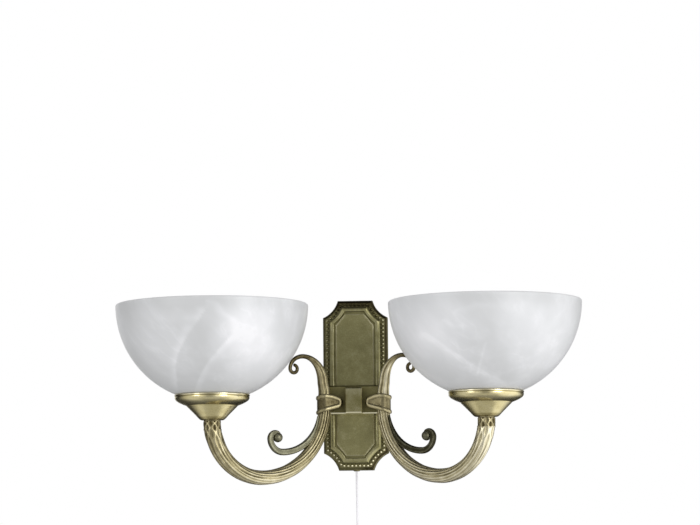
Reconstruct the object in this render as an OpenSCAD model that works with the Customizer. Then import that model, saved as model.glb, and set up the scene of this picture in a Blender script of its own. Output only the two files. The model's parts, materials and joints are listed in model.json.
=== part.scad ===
// Two-light wall bracket: a cast backplate, two reeded arms with scrolls, two glass bowls
// and a pull-cord switch. Millimetres. X runs to the right, Y into the wall and Z up.
// The origin is the middle of the backplate's back face, on the wall.

/* [Backplate] */
// Width of the backplate
plate_w = 61; // [58:1:70]
// Height of the backplate
plate_h = 160; // [156:1:180]
// Length of the straight edge at the top and bottom
plate_flat = 33; // [31:1:36]
// Height of each scooped corner
scoop_h = 16; // [14:1:18]
// Radius of the scooped corners
scoop_r = 25; // [23:1:30]
// How far the raised panel stands off the wall
panel_depth = 17.8; // [17:0.2:20]
// Thickness of the casting
plate_wall = 2.5; // [2:0.1:2.8]
// Distance from the plate's side to the raised panel
panel_side = 12.5; // [12:0.5:14]
// Distance from the plate's end to the raised panel
panel_end = 13; // [12:0.5:15]
// Width of the cut across a panel corner
panel_cut_w = 9; // [7:0.5:11]
// Height of the cut across a panel corner
panel_cut_h = 11; // [8:0.5:13]

/* [Wall strap] */
// Width of the wall strap
strap_w = 20; // [18:1:22]
// Thickness of the wall strap
strap_t = 2; // [1.5:0.1:2.5]
// Distance between the two wall screw holes
strap_hole_pitch = 76; // [74:1:78]
// Diameter of a wall screw hole
strap_hole_d = 4.6; // [4:0.1:5.5]
// Height of the cable window
window_h = 22; // [16:1:24]
// Width of the cable window
window_w = 12; // [8:1:13]

/* [Centre bracket] */
// Width of the carrier bar
bar_w = 62; // [60:1:64]
// Height of the carrier bar
bar_h = 26.3; // [25:0.1:28]
// Height of the bar's middle above the origin
bar_z = -14.85; // [-16:0.05:-14]
// How far the bar's front stands off the wall
bar_front = 30.7; // [30:0.1:32]
// Width of the centre block
block_w = 16; // [14:1:18]
// Height of the centre block
block_h = 23.8; // [22:0.1:25]
// How far the block's front stands off the wall
block_front = 42; // [40:0.5:44]
// Bevel along the edges of the bar and the block
edge_bevel = 1; // [0.4:0.1:1.4]

/* [Arms] */
// Sideways place of an arm's root
root_x = 27.2; // [26.5:0.1:27.6]
// Angle of each arm's plane from the wall
arm_turn = 35; // [30:1:40]
// Radius of the arm's inner bend
bend_1_r = 68.5; // [66:0.5:70]
// Radius of the arm's outer bend
bend_2_r = 50.5; // [48:0.5:52]
// Radius of the arm at its root
arm_root_r = 6; // [5.6:0.1:6.2]
// Radius of the arm at its lowest point
arm_low_r = 6.7; // [6:0.1:7]
// Radius of the arm at its neck
arm_neck_r = 8.1; // [7.6:0.1:8.4]
// Number of reeds round the arm
reeds = 14; // [10:1:18]
// Depth of the grooves between the reeds
reed_depth = 0.7; // [0.3:0.1:1]
// Radius of the wireway in the arm
arm_bore_r = 2.7; // [2.6:0.1:3.2]
// Thickness of the tie's band round the root
tie_t = 2.2; // [1.8:0.1:2.4]
// Height of the beads along the tie's edges
tie_bead = 0.8; // [0.3:0.1:1.2]

/* [Scrolls] */
// How far out the top of the upper scroll lies from the root
arch_out = 23; // [20:0.5:26]
// Height of the upper scroll's top above the origin
arch_up = 24.7; // [22:0.1:28]
// How far the upper scroll reaches past its top
arch_past = 14; // [12:0.5:16]
// Height of the upper scroll's curl above the origin
curl_up = 12.9; // [10:0.1:14]
// Radius of the upper scroll's curl
curl_r = 4; // [3.4:0.1:4]
// Radius of the lower scroll's inner edge
sweep_r = 38.4; // [37.5:0.1:39]
// Radius of the lower scroll's turn
turn_r = 12.6; // [11:0.1:13]
// Radius of the lower scroll's curl
coil_r = 6; // [5.6:0.1:6.5]
// Radius of the ball in the lower scroll
ball_r = 4.6; // [3.6:0.1:4.8]

/* [Shade holder] */
// Height of the cup
cup_h = 23.2; // [20:0.1:24]
// Thickness of the spun cup
cup_wall = 1.2; // [0.8:0.1:1.6]
// Radius of the cup's foot
cup_foot_r = 10.2; // [9:0.1:11]
// Height of the collar at the arm's neck
collar_h = 9; // [7:0.5:11]
// Radius of the threaded nipple
nipple_r = 5; // [4.8:0.1:5.2]

/* [Glass bowls] */
// Radius of the bowl at its rim
bowl_r = 88; // [84:1:92]
// Depth of the full curve of the bowl
bowl_depth = 88.5; // [86:0.5:94]
// Thickness of the glass
glass_t = 3.2; // [2.5:0.1:4]
// Radius of the bowl's flat foot
bowl_foot_r = 20.4; // [19:0.1:22]
// How deep the bowl's foot sits below the cup's lip
bowl_sink = 3.9; // [2:0.1:4]
// Diameter of the hole for the lampholder
fitter_d = 29; // [28.6:0.1:32]

/* [Lamp] */
// Diameter of the lampholder's threaded skirt
holder_d = 28; // [26:0.1:28.2]
// Diameter of the round lamp
lamp_d = 45; // [40:1:48]
// Length of the round lamp with its cap
lamp_l = 78; // [74:1:82]

/* [Pull switch] */
// Distance of the pull cord from the wall
cord_y = 5.6; // [5.5:0.1:5.8]
// Diameter of the pull cord
cord_d = 2; // [1.6:0.1:2.2]
// Travel of the pull switch
pull_travel = 6; // [4:0.5:6.4]
// Number of teeth on the switch's ratchet wheel
cam_teeth = 8; // [6:1:8]
// Height of the knob on the cord
knob_h = 18; // [14:1:22]
// Radius of the knob on the cord
knob_r = 5.5; // [4.5:0.1:6.5]

/* [Hidden] */
$fn = 48;
seat_gap = 0.3;   // between curved faces of neighbouring pieces
run_gap = 0.05;   // radial clearance of a pin in its hole
cut = 1;          // how far a cutter runs past the face it cuts

// Backplate: height of the moulding over the wall at a distance in from the edge
edge_y = 9;
bead_in = 4.3;
bead_floor = 12.2;
rim_in = 9.5;
rim_y = panel_depth + 1.4;
groove_in = rim_in + 1.6;
groove_y = panel_depth - 1.2;
cavity_in = 3;
cavity_y = bead_floor - plate_wall;
deep_in = 8.5;
deep_y = groove_y - plate_wall / 2;
scoop_w = (plate_w - plate_flat) / 2;
scoop_chord = sqrt(scoop_w * scoop_w + scoop_h * scoop_h);
scoop_off = sqrt(scoop_r * scoop_r - scoop_chord * scoop_chord / 4);
scoop_x = plate_w / 2 - scoop_w / 2 + scoop_off * scoop_h / scoop_chord;
scoop_z = plate_h / 2 - scoop_h / 2 + scoop_off * scoop_w / scoop_chord;

// Wall strap
strap_end = 8;
strap_h = strap_hole_pitch + 2 * strap_end;
lug_gap = 0.7;
lug_x = plate_w / 2 - cavity_in - lug_gap;
lug_h = 14;
lug_y = cavity_y - lug_gap;
set_screw_r = 2;
set_screw_y = 5;
window_z = lug_h / 2 + 1 + window_h / 2;

// Earth screw and terminal block, fixed to the strap
feed_r = 1.7;
earth_x = 17;
earth_r = 2;
earth_head_r = 3.6;
washer_r = 3.9;
washer_t = 0.8;
way_pitch = 8;
way_r = 1.8;
way_y = strap_t + way_r + feed_r + 1;
terminal_w = 24;
terminal_h = 14;
terminal_z = bar_z - feed_r - 1 - terminal_h / 2;
terminal_front = 11.5;
terminal_screw_z = 4.4;
terminal_screw_r = 1.5;
fixing_x = way_pitch / 2;
fixing_head_r = 2.4;

// Centre bracket
bar_low = bar_z - bar_h / 2;
bar_top = bar_z + bar_h / 2;
wireway_r = 4;
bush_r = 2.8;
bush_bore_r = 2.2;
bush_reach = 6;
bar_screw_x = 12;
screw_edge = 5;
bar_screw_z = bar_low + screw_edge;
block_screw_z = bar_top - screw_edge;
wireway_depth = 8.5;
wireway_y = bar_front - wireway_depth;
screw_r = 2;
screw_head_r = 3.5;
screw_head_h = 2.4;
wire_r = 1.9;
wire_join_x = root_x - wireway_depth;
root_y = bar_front + arm_root_r + seat_gap;
root_z = -20;

// Arm: two arcs in a plane, from the root down to the lowest point and up to the neck
low_z = root_z - bend_1_r;
bend_2_z = low_z + bend_2_r;
socket_roof = 1.5;
socket_drop = 7;
socket_top = bar_z + bush_r + socket_roof;
socket_low = root_z - socket_drop;
arm_from = asin((root_z - socket_low) / bend_1_r);
neck_u = bend_1_r + bend_2_r;
cup_foot_z = -36.8;
collar_low = cup_foot_z - collar_h;
arm_to = acos((bend_2_z - collar_low) / bend_2_r);
arm_steps = 12;

// Scrolls, in the arm's plane
stem_lean = 1.7;
stem_r = 5.2;
arch_r = 2.1;
curl_tube_r = 1.7;
tip_r = 1.4;
curl_turn = 280;
sweep_out = 45.8;
sweep_up = -23.1;
sweep_from = 11;
strand_r = 3.1;
strand_tip_r = 1;
coil_tube_r = 2.9;
coil_tip_r = 1.8;
coil_turn = 140;
coil_out = sweep_out + turn_r - coil_r;
coil_up = sweep_up - sweep_r - strand_r + turn_r;

// Tie, seen from the front: the round end by the block, and the corners of the band
tie_end = [-12, -17.8];
tie_end_r = 5.3;
tie_corners = [[-3.2, -12.7], [6, -14.3], [6.6, -26]];
tie_corner_r = 2.4;
tie_edge = 2.8;
tie_gap = 0.5;

// Shade holder and lamp, along the cup's axis
nut_h = 3;
cup_x = root_x + neck_u * cos(arm_turn);
cup_y = -root_y - neck_u * sin(arm_turn);
cup_top = cup_foot_z + cup_h;
bowl_foot_z = cup_top - bowl_sink;
rim_z = bowl_foot_z + bowl_depth * sqrt(1 - pow(bowl_foot_r / bowl_r, 2));
function bowl_at(z, inset) =
    (bowl_r - inset) * sqrt(1 - pow((rim_z - z) / (bowl_depth - inset / 2), 2));
lip_gap = 0.6;
cup_r = bowl_at(cup_top, 0) + lip_gap + cup_wall;
holder_r = holder_d / 2;
holder_body_h = cup_h - bowl_sink - cup_wall - nut_h - seat_gap;
skirt_h = 27;
holder_foot = bowl_foot_z - holder_body_h;
holder_top = bowl_foot_z + skirt_h;
holder_body_r = 11;
flange_r = 17.5;
flange_t = 2;
nut_r = 8;
nipple_grip = 5;
nipple_top = holder_foot + nipple_grip;
nipple_wall = 1.5;
lamp_cap_r = 7;
lamp_cap_h = 24;
lamp_seat = nipple_top + 1;
lamp_foot = lamp_seat + 1;
lamp_r = lamp_d / 2;
shell_r = lamp_cap_r + 1.1;
shell_wall = 0.6;
shell_h = 16;
contact_t = 1;
skirt_wall = 2;
ring_h = 8;
ring_flange_t = 2.5;

// Pull switch
switch_w = 18;
switch_back = strap_t + seat_gap;
switch_front = deep_y;
switch_h = 23.5;
switch_low = deep_in + 0.5 - plate_h / 2;
switch_top = switch_low + switch_h;
switch_wall = 1.4;
cover_t = 1.2;
axis_z = switch_low + 15;
cam_r = 5.4;
cam_t = 2.6;
pin_r = 1;
contact_w = 3;
contact_h = 7;
ear_w = 28;
ear_h = 6;
ear_t = 2.4;
ear_x = 11.5;
ear_z = switch_low + switch_h / 2;
ear_screw_r = 1.25;
ear_head_r = 2.2;
ear_head_h = 1.6;
ear_grip = 1.5;
plunger_h = 9;
plunger_low = switch_low + 10.5;
plunger_top = plunger_low + plunger_h;
plunger_w = 5;
plunger_half_t = 1.7;
plunger_gap = 0.5;
cam_y = cord_y + plunger_half_t + plunger_gap;
pawl_w = 1.4;
spring_r = 1.6;
spring_wire = 0.4;
spring_turns = 4;
cord_grip = 3.6;
bush_wall = 1.6;
bush_flange_t = 0.8;
bush_hole_r = cord_d / 2 + bush_wall;
cord_top = plunger_low + 2.5;

// The pull cord's way down from the plunger: drift to the side, and drop below its top
cord_route = [
    [0, 0], [0, 4], [0, 9], [0, 14], [0, 19], [0, 24], [0, 29], [0, 34],
    [0, 39], [0.1, 44], [0.1, 49], [0.2, 54], [0.2, 60], [0.3, 66],
    [0.3, 72], [0.4, 78], [0.4, 84], [0.4, 90], [0.4, 96], [0.3, 102],
    [0.3, 108], [0.2, 114], [0.2, 120], [0.1, 126], [0.1, 132], [0, 138],
    [0, 144], [0, 150]];
cord_l = cord_route[len(cord_route) - 1][1];
knob_grip = 2;
knob_top = cord_top - cord_l + knob_grip;

// A profile drawn in X and Z, standing from one distance off the wall to another
module slab(y_from, y_to) {
    rotate([90, 0, 0]) translate([0, 0, y_from]) linear_extrude(y_to - y_from) children();
}

// A round bar along Y, from one distance off the wall to another
module bar_y(x, z, r, y_from, y_to) {
    translate([x, -y_from, z]) rotate([90, 0, 0]) cylinder(h = y_to - y_from, r = r);
}

module both_sides() {
    children();
    mirror([1, 0, 0]) children();
}

// The plate's outline, drawn in by some distance all round
module plate_outline(inset) {
    difference() {
        square([plate_w - 2 * inset, plate_h - 2 * inset], center = true);
        for (sx = [-1, 1], sz = [-1, 1])
            translate([sx * scoop_x, sz * scoop_z]) circle(r = scoop_r + inset, $fn = 96);
    }
}

// The raised panel: a rectangle with its corners cut across
module panel_outline(inset) {
    w = plate_w / 2 - panel_side - inset;
    h = plate_h / 2 - panel_end - inset;
    cw = panel_cut_w;
    ch = panel_cut_h;
    polygon([[w, h - ch], [w - cw, h], [cw - w, h], [-w, h - ch],
        [-w, ch - h], [cw - w, -h], [w - cw, -h], [w, ch - h]]);
}

// What the border's cutter takes away: distance in from the edge, and height over the wall
border_cut = concat(
    [[-cut, rim_y + cut], [-cut, edge_y], [0, edge_y], [1, edge_y + 1.4],
        [2.4, bead_floor], [6.1, bead_floor], [6.5, rim_y - 3]],
    [for (a = [0:15:90]) [rim_in - 3 * cos(a), rim_y - 3 + 3 * sin(a)]],
    [[rim_in, rim_y + cut]]);

module border_cutters() {
    for (side = [-1, 1]) {
        translate([side * plate_w / 2, 0, -plate_h / 2 - cut])
            linear_extrude(plate_h + 2 * cut)
                polygon([for (p = border_cut) [-side * p[0], -p[1]]]);
        translate([-plate_w / 2 - cut, 0, side * plate_h / 2]) rotate([90, 0, 90])
            linear_extrude(plate_w + 2 * cut)
                polygon([for (p = border_cut) [-p[1], -side * p[0]]]);
    }
    for (sx = [-1, 1], sz = [-1, 1])
        translate([sx * scoop_x, 0, sz * scoop_z]) rotate([90, 0, 0])
            rotate_extrude($fn = 96) polygon([for (p = border_cut) [scoop_r + p[0], p[1]]]);
}

module backplate() {
    color("#6d6744") difference() {
        slab(0, rim_y) plate_outline(0);
        border_cutters();
        slab(groove_y, rim_y + cut) difference() {
            plate_outline(groove_in);
            panel_outline(0);
        }
        slab(panel_depth, rim_y + cut) plate_outline(groove_in - 0.4);
        slab(panel_depth, rim_y + cut) translate([0, bar_z])
            square([plate_w + 2 * cut, bar_h + 2 * seat_gap], center = true);
        slab(-cut, cavity_y) plate_outline(cavity_in);
        slab(-cut, deep_y) plate_outline(deep_in);
        bar_y(0, bar_z, wireway_r, deep_y - cut, rim_y + cut);
        bar_y(0, block_screw_z, screw_r, deep_y - cut, rim_y + cut);
        for (side = [-1, 1]) {
            bar_y(side * bar_screw_x, bar_screw_z, screw_r, deep_y - cut, rim_y + cut);
            bar_y(side * ear_x, ear_z, ear_screw_r + run_gap, deep_y - cut, deep_y + ear_grip);
            translate([side * (plate_w / 2 + cut), -set_screw_y, 0]) rotate([0, -side * 90, 0])
                cylinder(h = cavity_in + 2 * cut, r = set_screw_r);
        }
        translate([0, -cord_y, -plate_h / 2 - cut])
            cylinder(h = cavity_in + 2 * cut, r = bush_hole_r);
    }
}

module wall_strap() {
    color("silver") difference() {
        union() {
            slab(0, strap_t) square([strap_w, strap_h], center = true);
            slab(0, strap_t) square([2 * lug_x, lug_h], center = true);
            for (side = [-1, 1])
                slab(strap_t, lug_y) translate([side * (lug_x - strap_t / 2), 0])
                    square([strap_t, lug_h], center = true);
        }
        for (side = [-1, 1])
            bar_y(0, side * strap_hole_pitch / 2, strap_hole_d / 2, -cut, strap_t + cut);
        slab(-cut, strap_t + cut) translate([0, window_z])
            square([window_w, window_h], center = true);
        bar_y(fixing_x, terminal_z, terminal_screw_r + run_gap, -cut, strap_t + cut);
        bar_y(earth_x, 0, earth_r + run_gap, -cut, strap_t + cut);
    }
}

module set_screws() {
    slot_w = 0.8;
    slot_depth = 1.2;
    color("silver") both_sides() difference() {
        translate([lug_x, -set_screw_y, 0]) rotate([0, 90, 0])
            cylinder(h = cavity_in, r = set_screw_r - run_gap);
        translate([lug_x + cavity_in - slot_depth, -set_screw_y - slot_w / 2, -set_screw_r])
            cube([cut + slot_depth, slot_w, 2 * set_screw_r]);
    }
}

module earth_screw() {
    head_h = 2.2;
    color("goldenrod") {
        bar_y(earth_x, 0, earth_r, 0, strap_t + washer_t);
        bar_y(earth_x, 0, washer_r, strap_t, strap_t + washer_t);
        bar_y(earth_x, 0, earth_head_r, strap_t + washer_t, strap_t + washer_t + head_h);
    }
}

// Terminal block, three ways side by side, with its fixing hole between two of them
module terminal_block() {
    color("white") difference() {
        slab(strap_t, terminal_front) translate([0, terminal_z])
            square([terminal_w, terminal_h], center = true);
        for (way = [-1:1]) {
            translate([way * way_pitch, -way_y, terminal_z - terminal_h / 2 - cut])
                cylinder(h = terminal_h + 2 * cut, r = way_r);
            for (end = [-1, 1])
                bar_y(way * way_pitch, terminal_z + end * terminal_screw_z,
                    terminal_screw_r + run_gap, way_y, terminal_front + cut);
        }
        bar_y(fixing_x, terminal_z, terminal_screw_r + run_gap,
            strap_t - cut, terminal_front + cut);
    }
}

// The six clamping screws, and the one that fixes the block to the strap
module terminal_screws() {
    color("silver") {
        for (way = [-1:1], end = [-1, 1])
            bar_y(way * way_pitch, terminal_z + end * terminal_screw_z,
                terminal_screw_r, way_y + way_r, terminal_front - terminal_screw_r / 2);
        bar_y(fixing_x, terminal_z, terminal_screw_r, 0, terminal_front);
        bar_y(fixing_x, terminal_z, fixing_head_r, terminal_front,
            terminal_front + terminal_screw_r);
    }
}

// The feed rises from the middle way and runs forward and out to both sides in the bar
module plate_wiring() {
    color("white") {
        translate([0, -way_y, terminal_z])
            cylinder(h = bar_z - terminal_z, r = way_r - seat_gap);
        bar_y(0, bar_z, feed_r, way_y - way_r, wireway_y);
        translate([-wire_join_x, -wireway_y, bar_z]) rotate([0, 90, 0])
            cylinder(h = 2 * wire_join_x, r = wire_r);
    }
}

// Box casting across the plate's front, drilled through for the wires
module carrier_bar() {
    color("#5d5638") difference() {
        translate([0, -bar_front, bar_z]) bevelled(bar_w, bar_front - panel_depth, bar_h);
        translate([-root_x, -wireway_y, bar_z]) rotate([0, 90, 0])
            cylinder(h = 2 * root_x, r = wireway_r);
        bar_y(0, bar_z, wireway_r, panel_depth - cut, wireway_y);
        for (side = [-1, 1]) {
            bar_y(side * root_x, bar_z, bush_r, wireway_y, bar_front + cut);
            bar_y(side * bar_screw_x, bar_screw_z, screw_r, panel_depth - cut, bar_front - 3);
        }
        bar_y(0, block_screw_z, screw_r, panel_depth - cut, bar_front + cut);
    }
}

// A block with its front at Y = 0 and its front edges bevelled, reaching back to Y = depth
module bevelled(w, depth, h) {
    b = edge_bevel;
    intersection() {
        translate([-w / 2, 0, -h / 2]) cube([w, depth, h]);
        translate([-w / 2, 0, 0]) rotate([90, 0, 90]) linear_extrude(w)
            polygon([[0, b - h / 2], [b, -h / 2], [depth, -h / 2],
                [depth, h / 2], [b, h / 2], [0, h / 2 - b]]);
        translate([0, 0, -h / 2]) linear_extrude(h)
            polygon([[b - w / 2, 0], [w / 2 - b, 0], [w / 2, b], [w / 2, depth],
                [-w / 2, depth], [-w / 2, b]]);
    }
}

module bar_screws() {
    color("silver") both_sides() {
        bar_y(bar_screw_x, bar_screw_z, screw_r - run_gap, deep_y, bar_front - 4);
        bar_y(bar_screw_x, bar_screw_z, screw_head_r, deep_y - screw_head_h, deep_y);
    }
}

module centre_block() {
    color("#79734f") difference() {
        translate([0, -block_front, bar_low + block_h / 2])
            bevelled(block_w, block_front - bar_front, block_h);
        bar_y(0, block_screw_z, screw_r, bar_front - cut, block_front - 4);
    }
}

module block_screw() {
    color("silver") {
        bar_y(0, block_screw_z, screw_r - run_gap, deep_y, block_front - 5);
        bar_y(0, block_screw_z, screw_head_r, deep_y - screw_head_h, deep_y);
    }
}

// Everything on the right arm is drawn in its own plane: X out from the root, Z up
module arm_plane() {
    translate([root_x, -root_y, 0]) rotate([0, 0, -arm_turn]) children();
}

module arm_socket() {
    color("#6d6744") difference() {
        translate([root_x, -root_y, socket_low])
            cylinder(h = socket_top - socket_low, r = arm_root_r);
        translate([root_x, -root_y, socket_low - cut])
            cylinder(h = bar_z - socket_low + arm_bore_r + cut, r = arm_bore_r);
        bar_y(root_x, bar_z, bush_r, root_y - arm_root_r - cut, root_y);
    }
}

module socket_bushes() {
    color("goldenrod") both_sides() difference() {
        bar_y(root_x, bar_z, bush_r - run_gap, bar_front - bush_reach, root_y - arm_bore_r);
        bar_y(root_x, bar_z, bush_bore_r, bar_front - bush_reach - cut, root_y);
    }
}

// The arm's centreline: angle along the bends, from 0 at the root to 90 at the lowest
// point and 180 at the neck, as [out, up, slope of the path]
function arm_line(a) = a < 90
    ? [bend_1_r - bend_1_r * cos(a), root_z - bend_1_r * sin(a), a - 90]
    : [bend_1_r - bend_2_r * cos(a), bend_2_z - bend_2_r * sin(a), a - 90];
function arm_radius(a) = a < 90
    ? arm_root_r + (arm_low_r - arm_root_r) * a / 90
    : arm_low_r + (arm_neck_r - arm_low_r) * (1 - cos((a - 90) * 2)) / 2;

// Rings of points square to a path in the arm's plane. Each entry of path is
// [out, up, slope, radius, sideways radius]; the reeds and their depth are optional
function ring(p, n, groove) = [for (k = [0:n - 1])
    let (t = 360 * k / n, g = (k % 2 == 0 ? 0 : groove), r = p[3] - g, s = p[4] - g)
    [p[0] - r * cos(t) * sin(p[2]), s * sin(t), p[1] + r * cos(t) * cos(p[2])]];

// A solid skin over rings of n points each, closed with flat ends
module skin(rings) {
    n = len(rings[0]);
    m = len(rings);
    points = [for (r = rings) for (p = r) p];
    sides = [for (i = [0:m - 2], k = [0:n - 1])
        let (a = i * n + k, b = i * n + (k + 1) % n) each [[a, b, b + n], [a, b + n, a + n]]];
    polyhedron(points, concat(sides,
        [[for (k = [n - 1:-1:0]) k], [for (k = [0:n - 1]) (m - 1) * n + k]]));
}

// A skin with a bore: the outer rings have twice as many points as the inner ones
module bored_skin(outer, inner) {
    n = len(inner[0]);
    m = len(inner);
    first = m * 2 * n;
    points = concat([for (r = outer) for (p = r) p], [for (r = inner) for (p = r) p]);
    out = [for (i = [0:m - 2], k = [0:2 * n - 1])
        let (a = i * 2 * n + k, b = i * 2 * n + (k + 1) % (2 * n))
        each [[a, b, b + 2 * n], [a, b + 2 * n, a + 2 * n]]];
    bore = [for (i = [0:m - 2], k = [0:n - 1])
        let (a = first + i * n + k, b = first + i * n + (k + 1) % n)
        each [[a, b + n, b], [a, a + n, b + n]]];
    ends = [for (k = [0:n - 1])
        let (a = 2 * k, b = 2 * k + 1, c = (2 * k + 2) % (2 * n),
            p = first + k, q = first + (k + 1) % n,
            o = (m - 1) * 2 * n, i = (m - 1) * n)
        each [[b, a, p], [b, p, q], [c, b, q],
            [a + o, b + o, p + i], [p + i, b + o, q + i], [b + o, c + o, q + i]]];
    polyhedron(points, concat(out, bore, ends));
}

// A reeded tube whose ends are level, against the socket and under the neck collar
module arm() {
    rows = 2 * arm_steps;
    path = [for (k = [0:rows])
        let (a = arm_from + (90 + arm_to - arm_from) * k / rows, p = arm_line(a))
        k == 0 ? [0, socket_low, -90, arm_root_r]
            : k == rows ? [neck_u, collar_low, 90, arm_neck_r]
            : [p[0], p[1], p[2], arm_radius(a)]];
    color("#857c4e") arm_plane() bored_skin(
        [for (p = path) ring([p[0], p[1], p[2], p[3], p[3]], 2 * reeds, reed_depth)],
        [for (p = path) ring([p[0], p[1], p[2], arm_bore_r, arm_bore_r], reeds, 0)]);
}

// Upper scroll: a stem, an arch of two quarter ellipses, and an open curl
module upper_scroll() {
    rise = arch_out - stem_lean;
    drop = arch_up - curl_up;
    curl_out = arch_out + arch_past - curl_r;
    stem = [for (k = [0:3]) let (t = k / 4)
        [stem_lean * t * t, socket_top - socket_top * t, 90 - 4 * t,
            arm_root_r + (stem_r - arm_root_r) * t]];
    climb = [for (a = [0:10:90])
        [arch_out - rise * cos(a), arch_up * sin(a), atan2(arch_up * cos(a), rise * sin(a)),
            arch_r + (stem_r - arch_r) * pow(cos(a), 2)]];
    fall = [for (a = [80:-10:10])
        [arch_out + arch_past * cos(a), curl_up + drop * sin(a),
            atan2(-drop * cos(a), arch_past * sin(a)),
            arch_r + (curl_tube_r - arch_r) * (90 - a) / 90]];
    curl = [for (a = [0:20:curl_turn])
        let (t = a / curl_turn, r = curl_r - 0.6 * t)
        [curl_out + r * cos(a), curl_up - r * sin(a), -a - 90,
            curl_tube_r + (tip_r - curl_tube_r) * t]];
    color("#857c4e") arm_plane() skin([for (p = concat(stem, climb, fall, curl))
        ring([p[0], p[1], p[2], p[3], p[3]], 12, 0)]);
}

// A point moved off the arm's inner bend, so that a scroll lies along the arm's back
function off_arm(p) =
    let (du = p[0] - bend_1_r, dz = p[2] - root_z, d = norm([du, dz]),
        out = bend_1_r - d, m = norm([out, p[1]]),
        least = arm_radius(atan2(-dz, -du)) + seat_gap)
    m >= least ? p
        : let (k = (bend_1_r - out * least / m) / d)
            [bend_1_r + du * k, p[1] * least / m, root_z + dz * k];

// Lower scroll: a strand that springs from the arm's back, turns up and coils round a ball
module lower_scroll() {
    sweep = [for (a = [sweep_from:7.9:91])
        let (r = strand_tip_r + (strand_r - strand_tip_r) * sin(min(90, 2 * (a - sweep_from))),
            d = sweep_r + r)
        [sweep_out - d * cos(a), sweep_up - d * sin(a), a - 90, r]];
    turn = [for (a = [-80:10:0])
        [sweep_out + turn_r * cos(a), coil_up + turn_r * sin(a), a + 90,
            coil_tube_r + (strand_r - coil_tube_r) * -a / 90]];
    coil = [for (a = [20:20:coil_turn])
        let (t = a / coil_turn, r = coil_r - t)
        [coil_out + r * cos(a), coil_up + r * sin(a), a + 90,
            coil_tube_r + (coil_tip_r - coil_tube_r) * t]];
    color("#6f6c52") arm_plane() {
        skin([for (p = concat(sweep, turn, coil))
            [for (q = ring([p[0], p[1], p[2], p[3], p[3]], 10, 0)) off_arm(q)]]);
        translate([coil_out - 1.8, 0, coil_up + 0.8]) sphere(r = ball_r);
    }
}

// The tie seen from above: it wraps the root and ends in a tongue on the carrier bar
module tie_plan(inset) {
    hull() {
        circle(r = arm_root_r + tie_t - inset, $fn = 40);
        translate([tie_end[0] - 1, 1.6]) circle(r = 4.2 - inset, $fn = 32);
    }
}

// The tie seen from the front: a band whose beaded edges meet round its end
module tie_front(inset) {
    hull() {
        translate(tie_end) circle(r = tie_end_r - inset, $fn = 32);
        for (c = tie_corners) translate(c) circle(r = tie_corner_r - inset, $fn = 24);
    }
}

module tie() {
    low = -40;
    color("#857c4e") translate([root_x, -root_y, 0]) difference() {
        intersection() {
            translate([0, 0, low]) linear_extrude(40) tie_plan(0);
            rotate([90, 0, 0]) translate([0, 0, bar_front - root_y])
                linear_extrude(30) tie_front(0);
        }
        difference() {
            rotate([90, 0, 0]) linear_extrude(30) tie_front(tie_edge);
            translate([0, 0, low]) linear_extrude(40) tie_plan(tie_bead);
        }
        translate([0, 0, low]) cylinder(h = 40, r = arm_root_r + tie_gap);
        rotate([90, 0, 0]) translate([0, bar_z, bar_front - root_y - cut])
            cylinder(h = root_y - bar_front, r = bush_r);
    }
}

module at_cup() {
    translate([cup_x, cup_y, 0]) children();
}

module neck_collar() {
    color("#857c4e") at_cup() translate([0, 0, collar_low]) difference() {
        cylinder(h = collar_h, r = arm_neck_r);
        translate([0, 0, -cut]) cylinder(h = collar_h + 2 * cut, r = nipple_r);
    }
}

module nipple() {
    color("goldenrod") at_cup() translate([0, 0, collar_low + 0.2]) difference() {
        cylinder(h = nipple_top - collar_low - 0.2, r = nipple_r - run_gap);
        translate([0, 0, -cut])
            cylinder(h = nipple_top - collar_low + 2 * cut, r = nipple_r - nipple_wall);
    }
}

// Spun cup: a straight lip, a rolled shoulder and a cone down to the foot
module cup() {
    shoulder = 0.52 * cup_h;
    outer = [[cup_r - 0.4, cup_h], [cup_r, cup_h - 0.4], [cup_r, cup_h - 1.4],
        [cup_r - 0.6, cup_h - 2], [cup_r - 0.3, cup_h - 2.8], [cup_r - 1.4, cup_h - 5.3],
        [cup_r - 5.4, shoulder + 3.1], [cup_r - 9.6, shoulder + 1],
        [cup_r - 11.2, shoulder], [cup_r - 12.2, shoulder - 1], [cup_foot_r, 0]];
    inner = [[cup_foot_r - 0.6, cup_wall], [cup_r - 13.2, shoulder - 0.8 + cup_wall],
        [cup_r - 11.2, shoulder + 0.8 + cup_wall], [cup_r - 6, shoulder + 3.4 + cup_wall],
        [cup_r - cup_wall - 1.2, cup_h - 4.2], [cup_r - cup_wall, cup_h - 1.6],
        [cup_r - cup_wall, cup_h]];
    color("#b0a05e") at_cup() translate([0, 0, cup_foot_z]) rotate_extrude($fn = 96)
        polygon(concat(outer, [[nipple_r + run_gap, 0], [nipple_r + run_gap, cup_wall]], inner));
}

module cup_nut() {
    color("goldenrod") at_cup() translate([0, 0, cup_foot_z + cup_wall]) difference() {
        cylinder(h = nut_h, r = nut_r, $fn = 6);
        translate([0, 0, -cut]) cylinder(h = nut_h + 2 * cut, r = nipple_r);
    }
}

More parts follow.
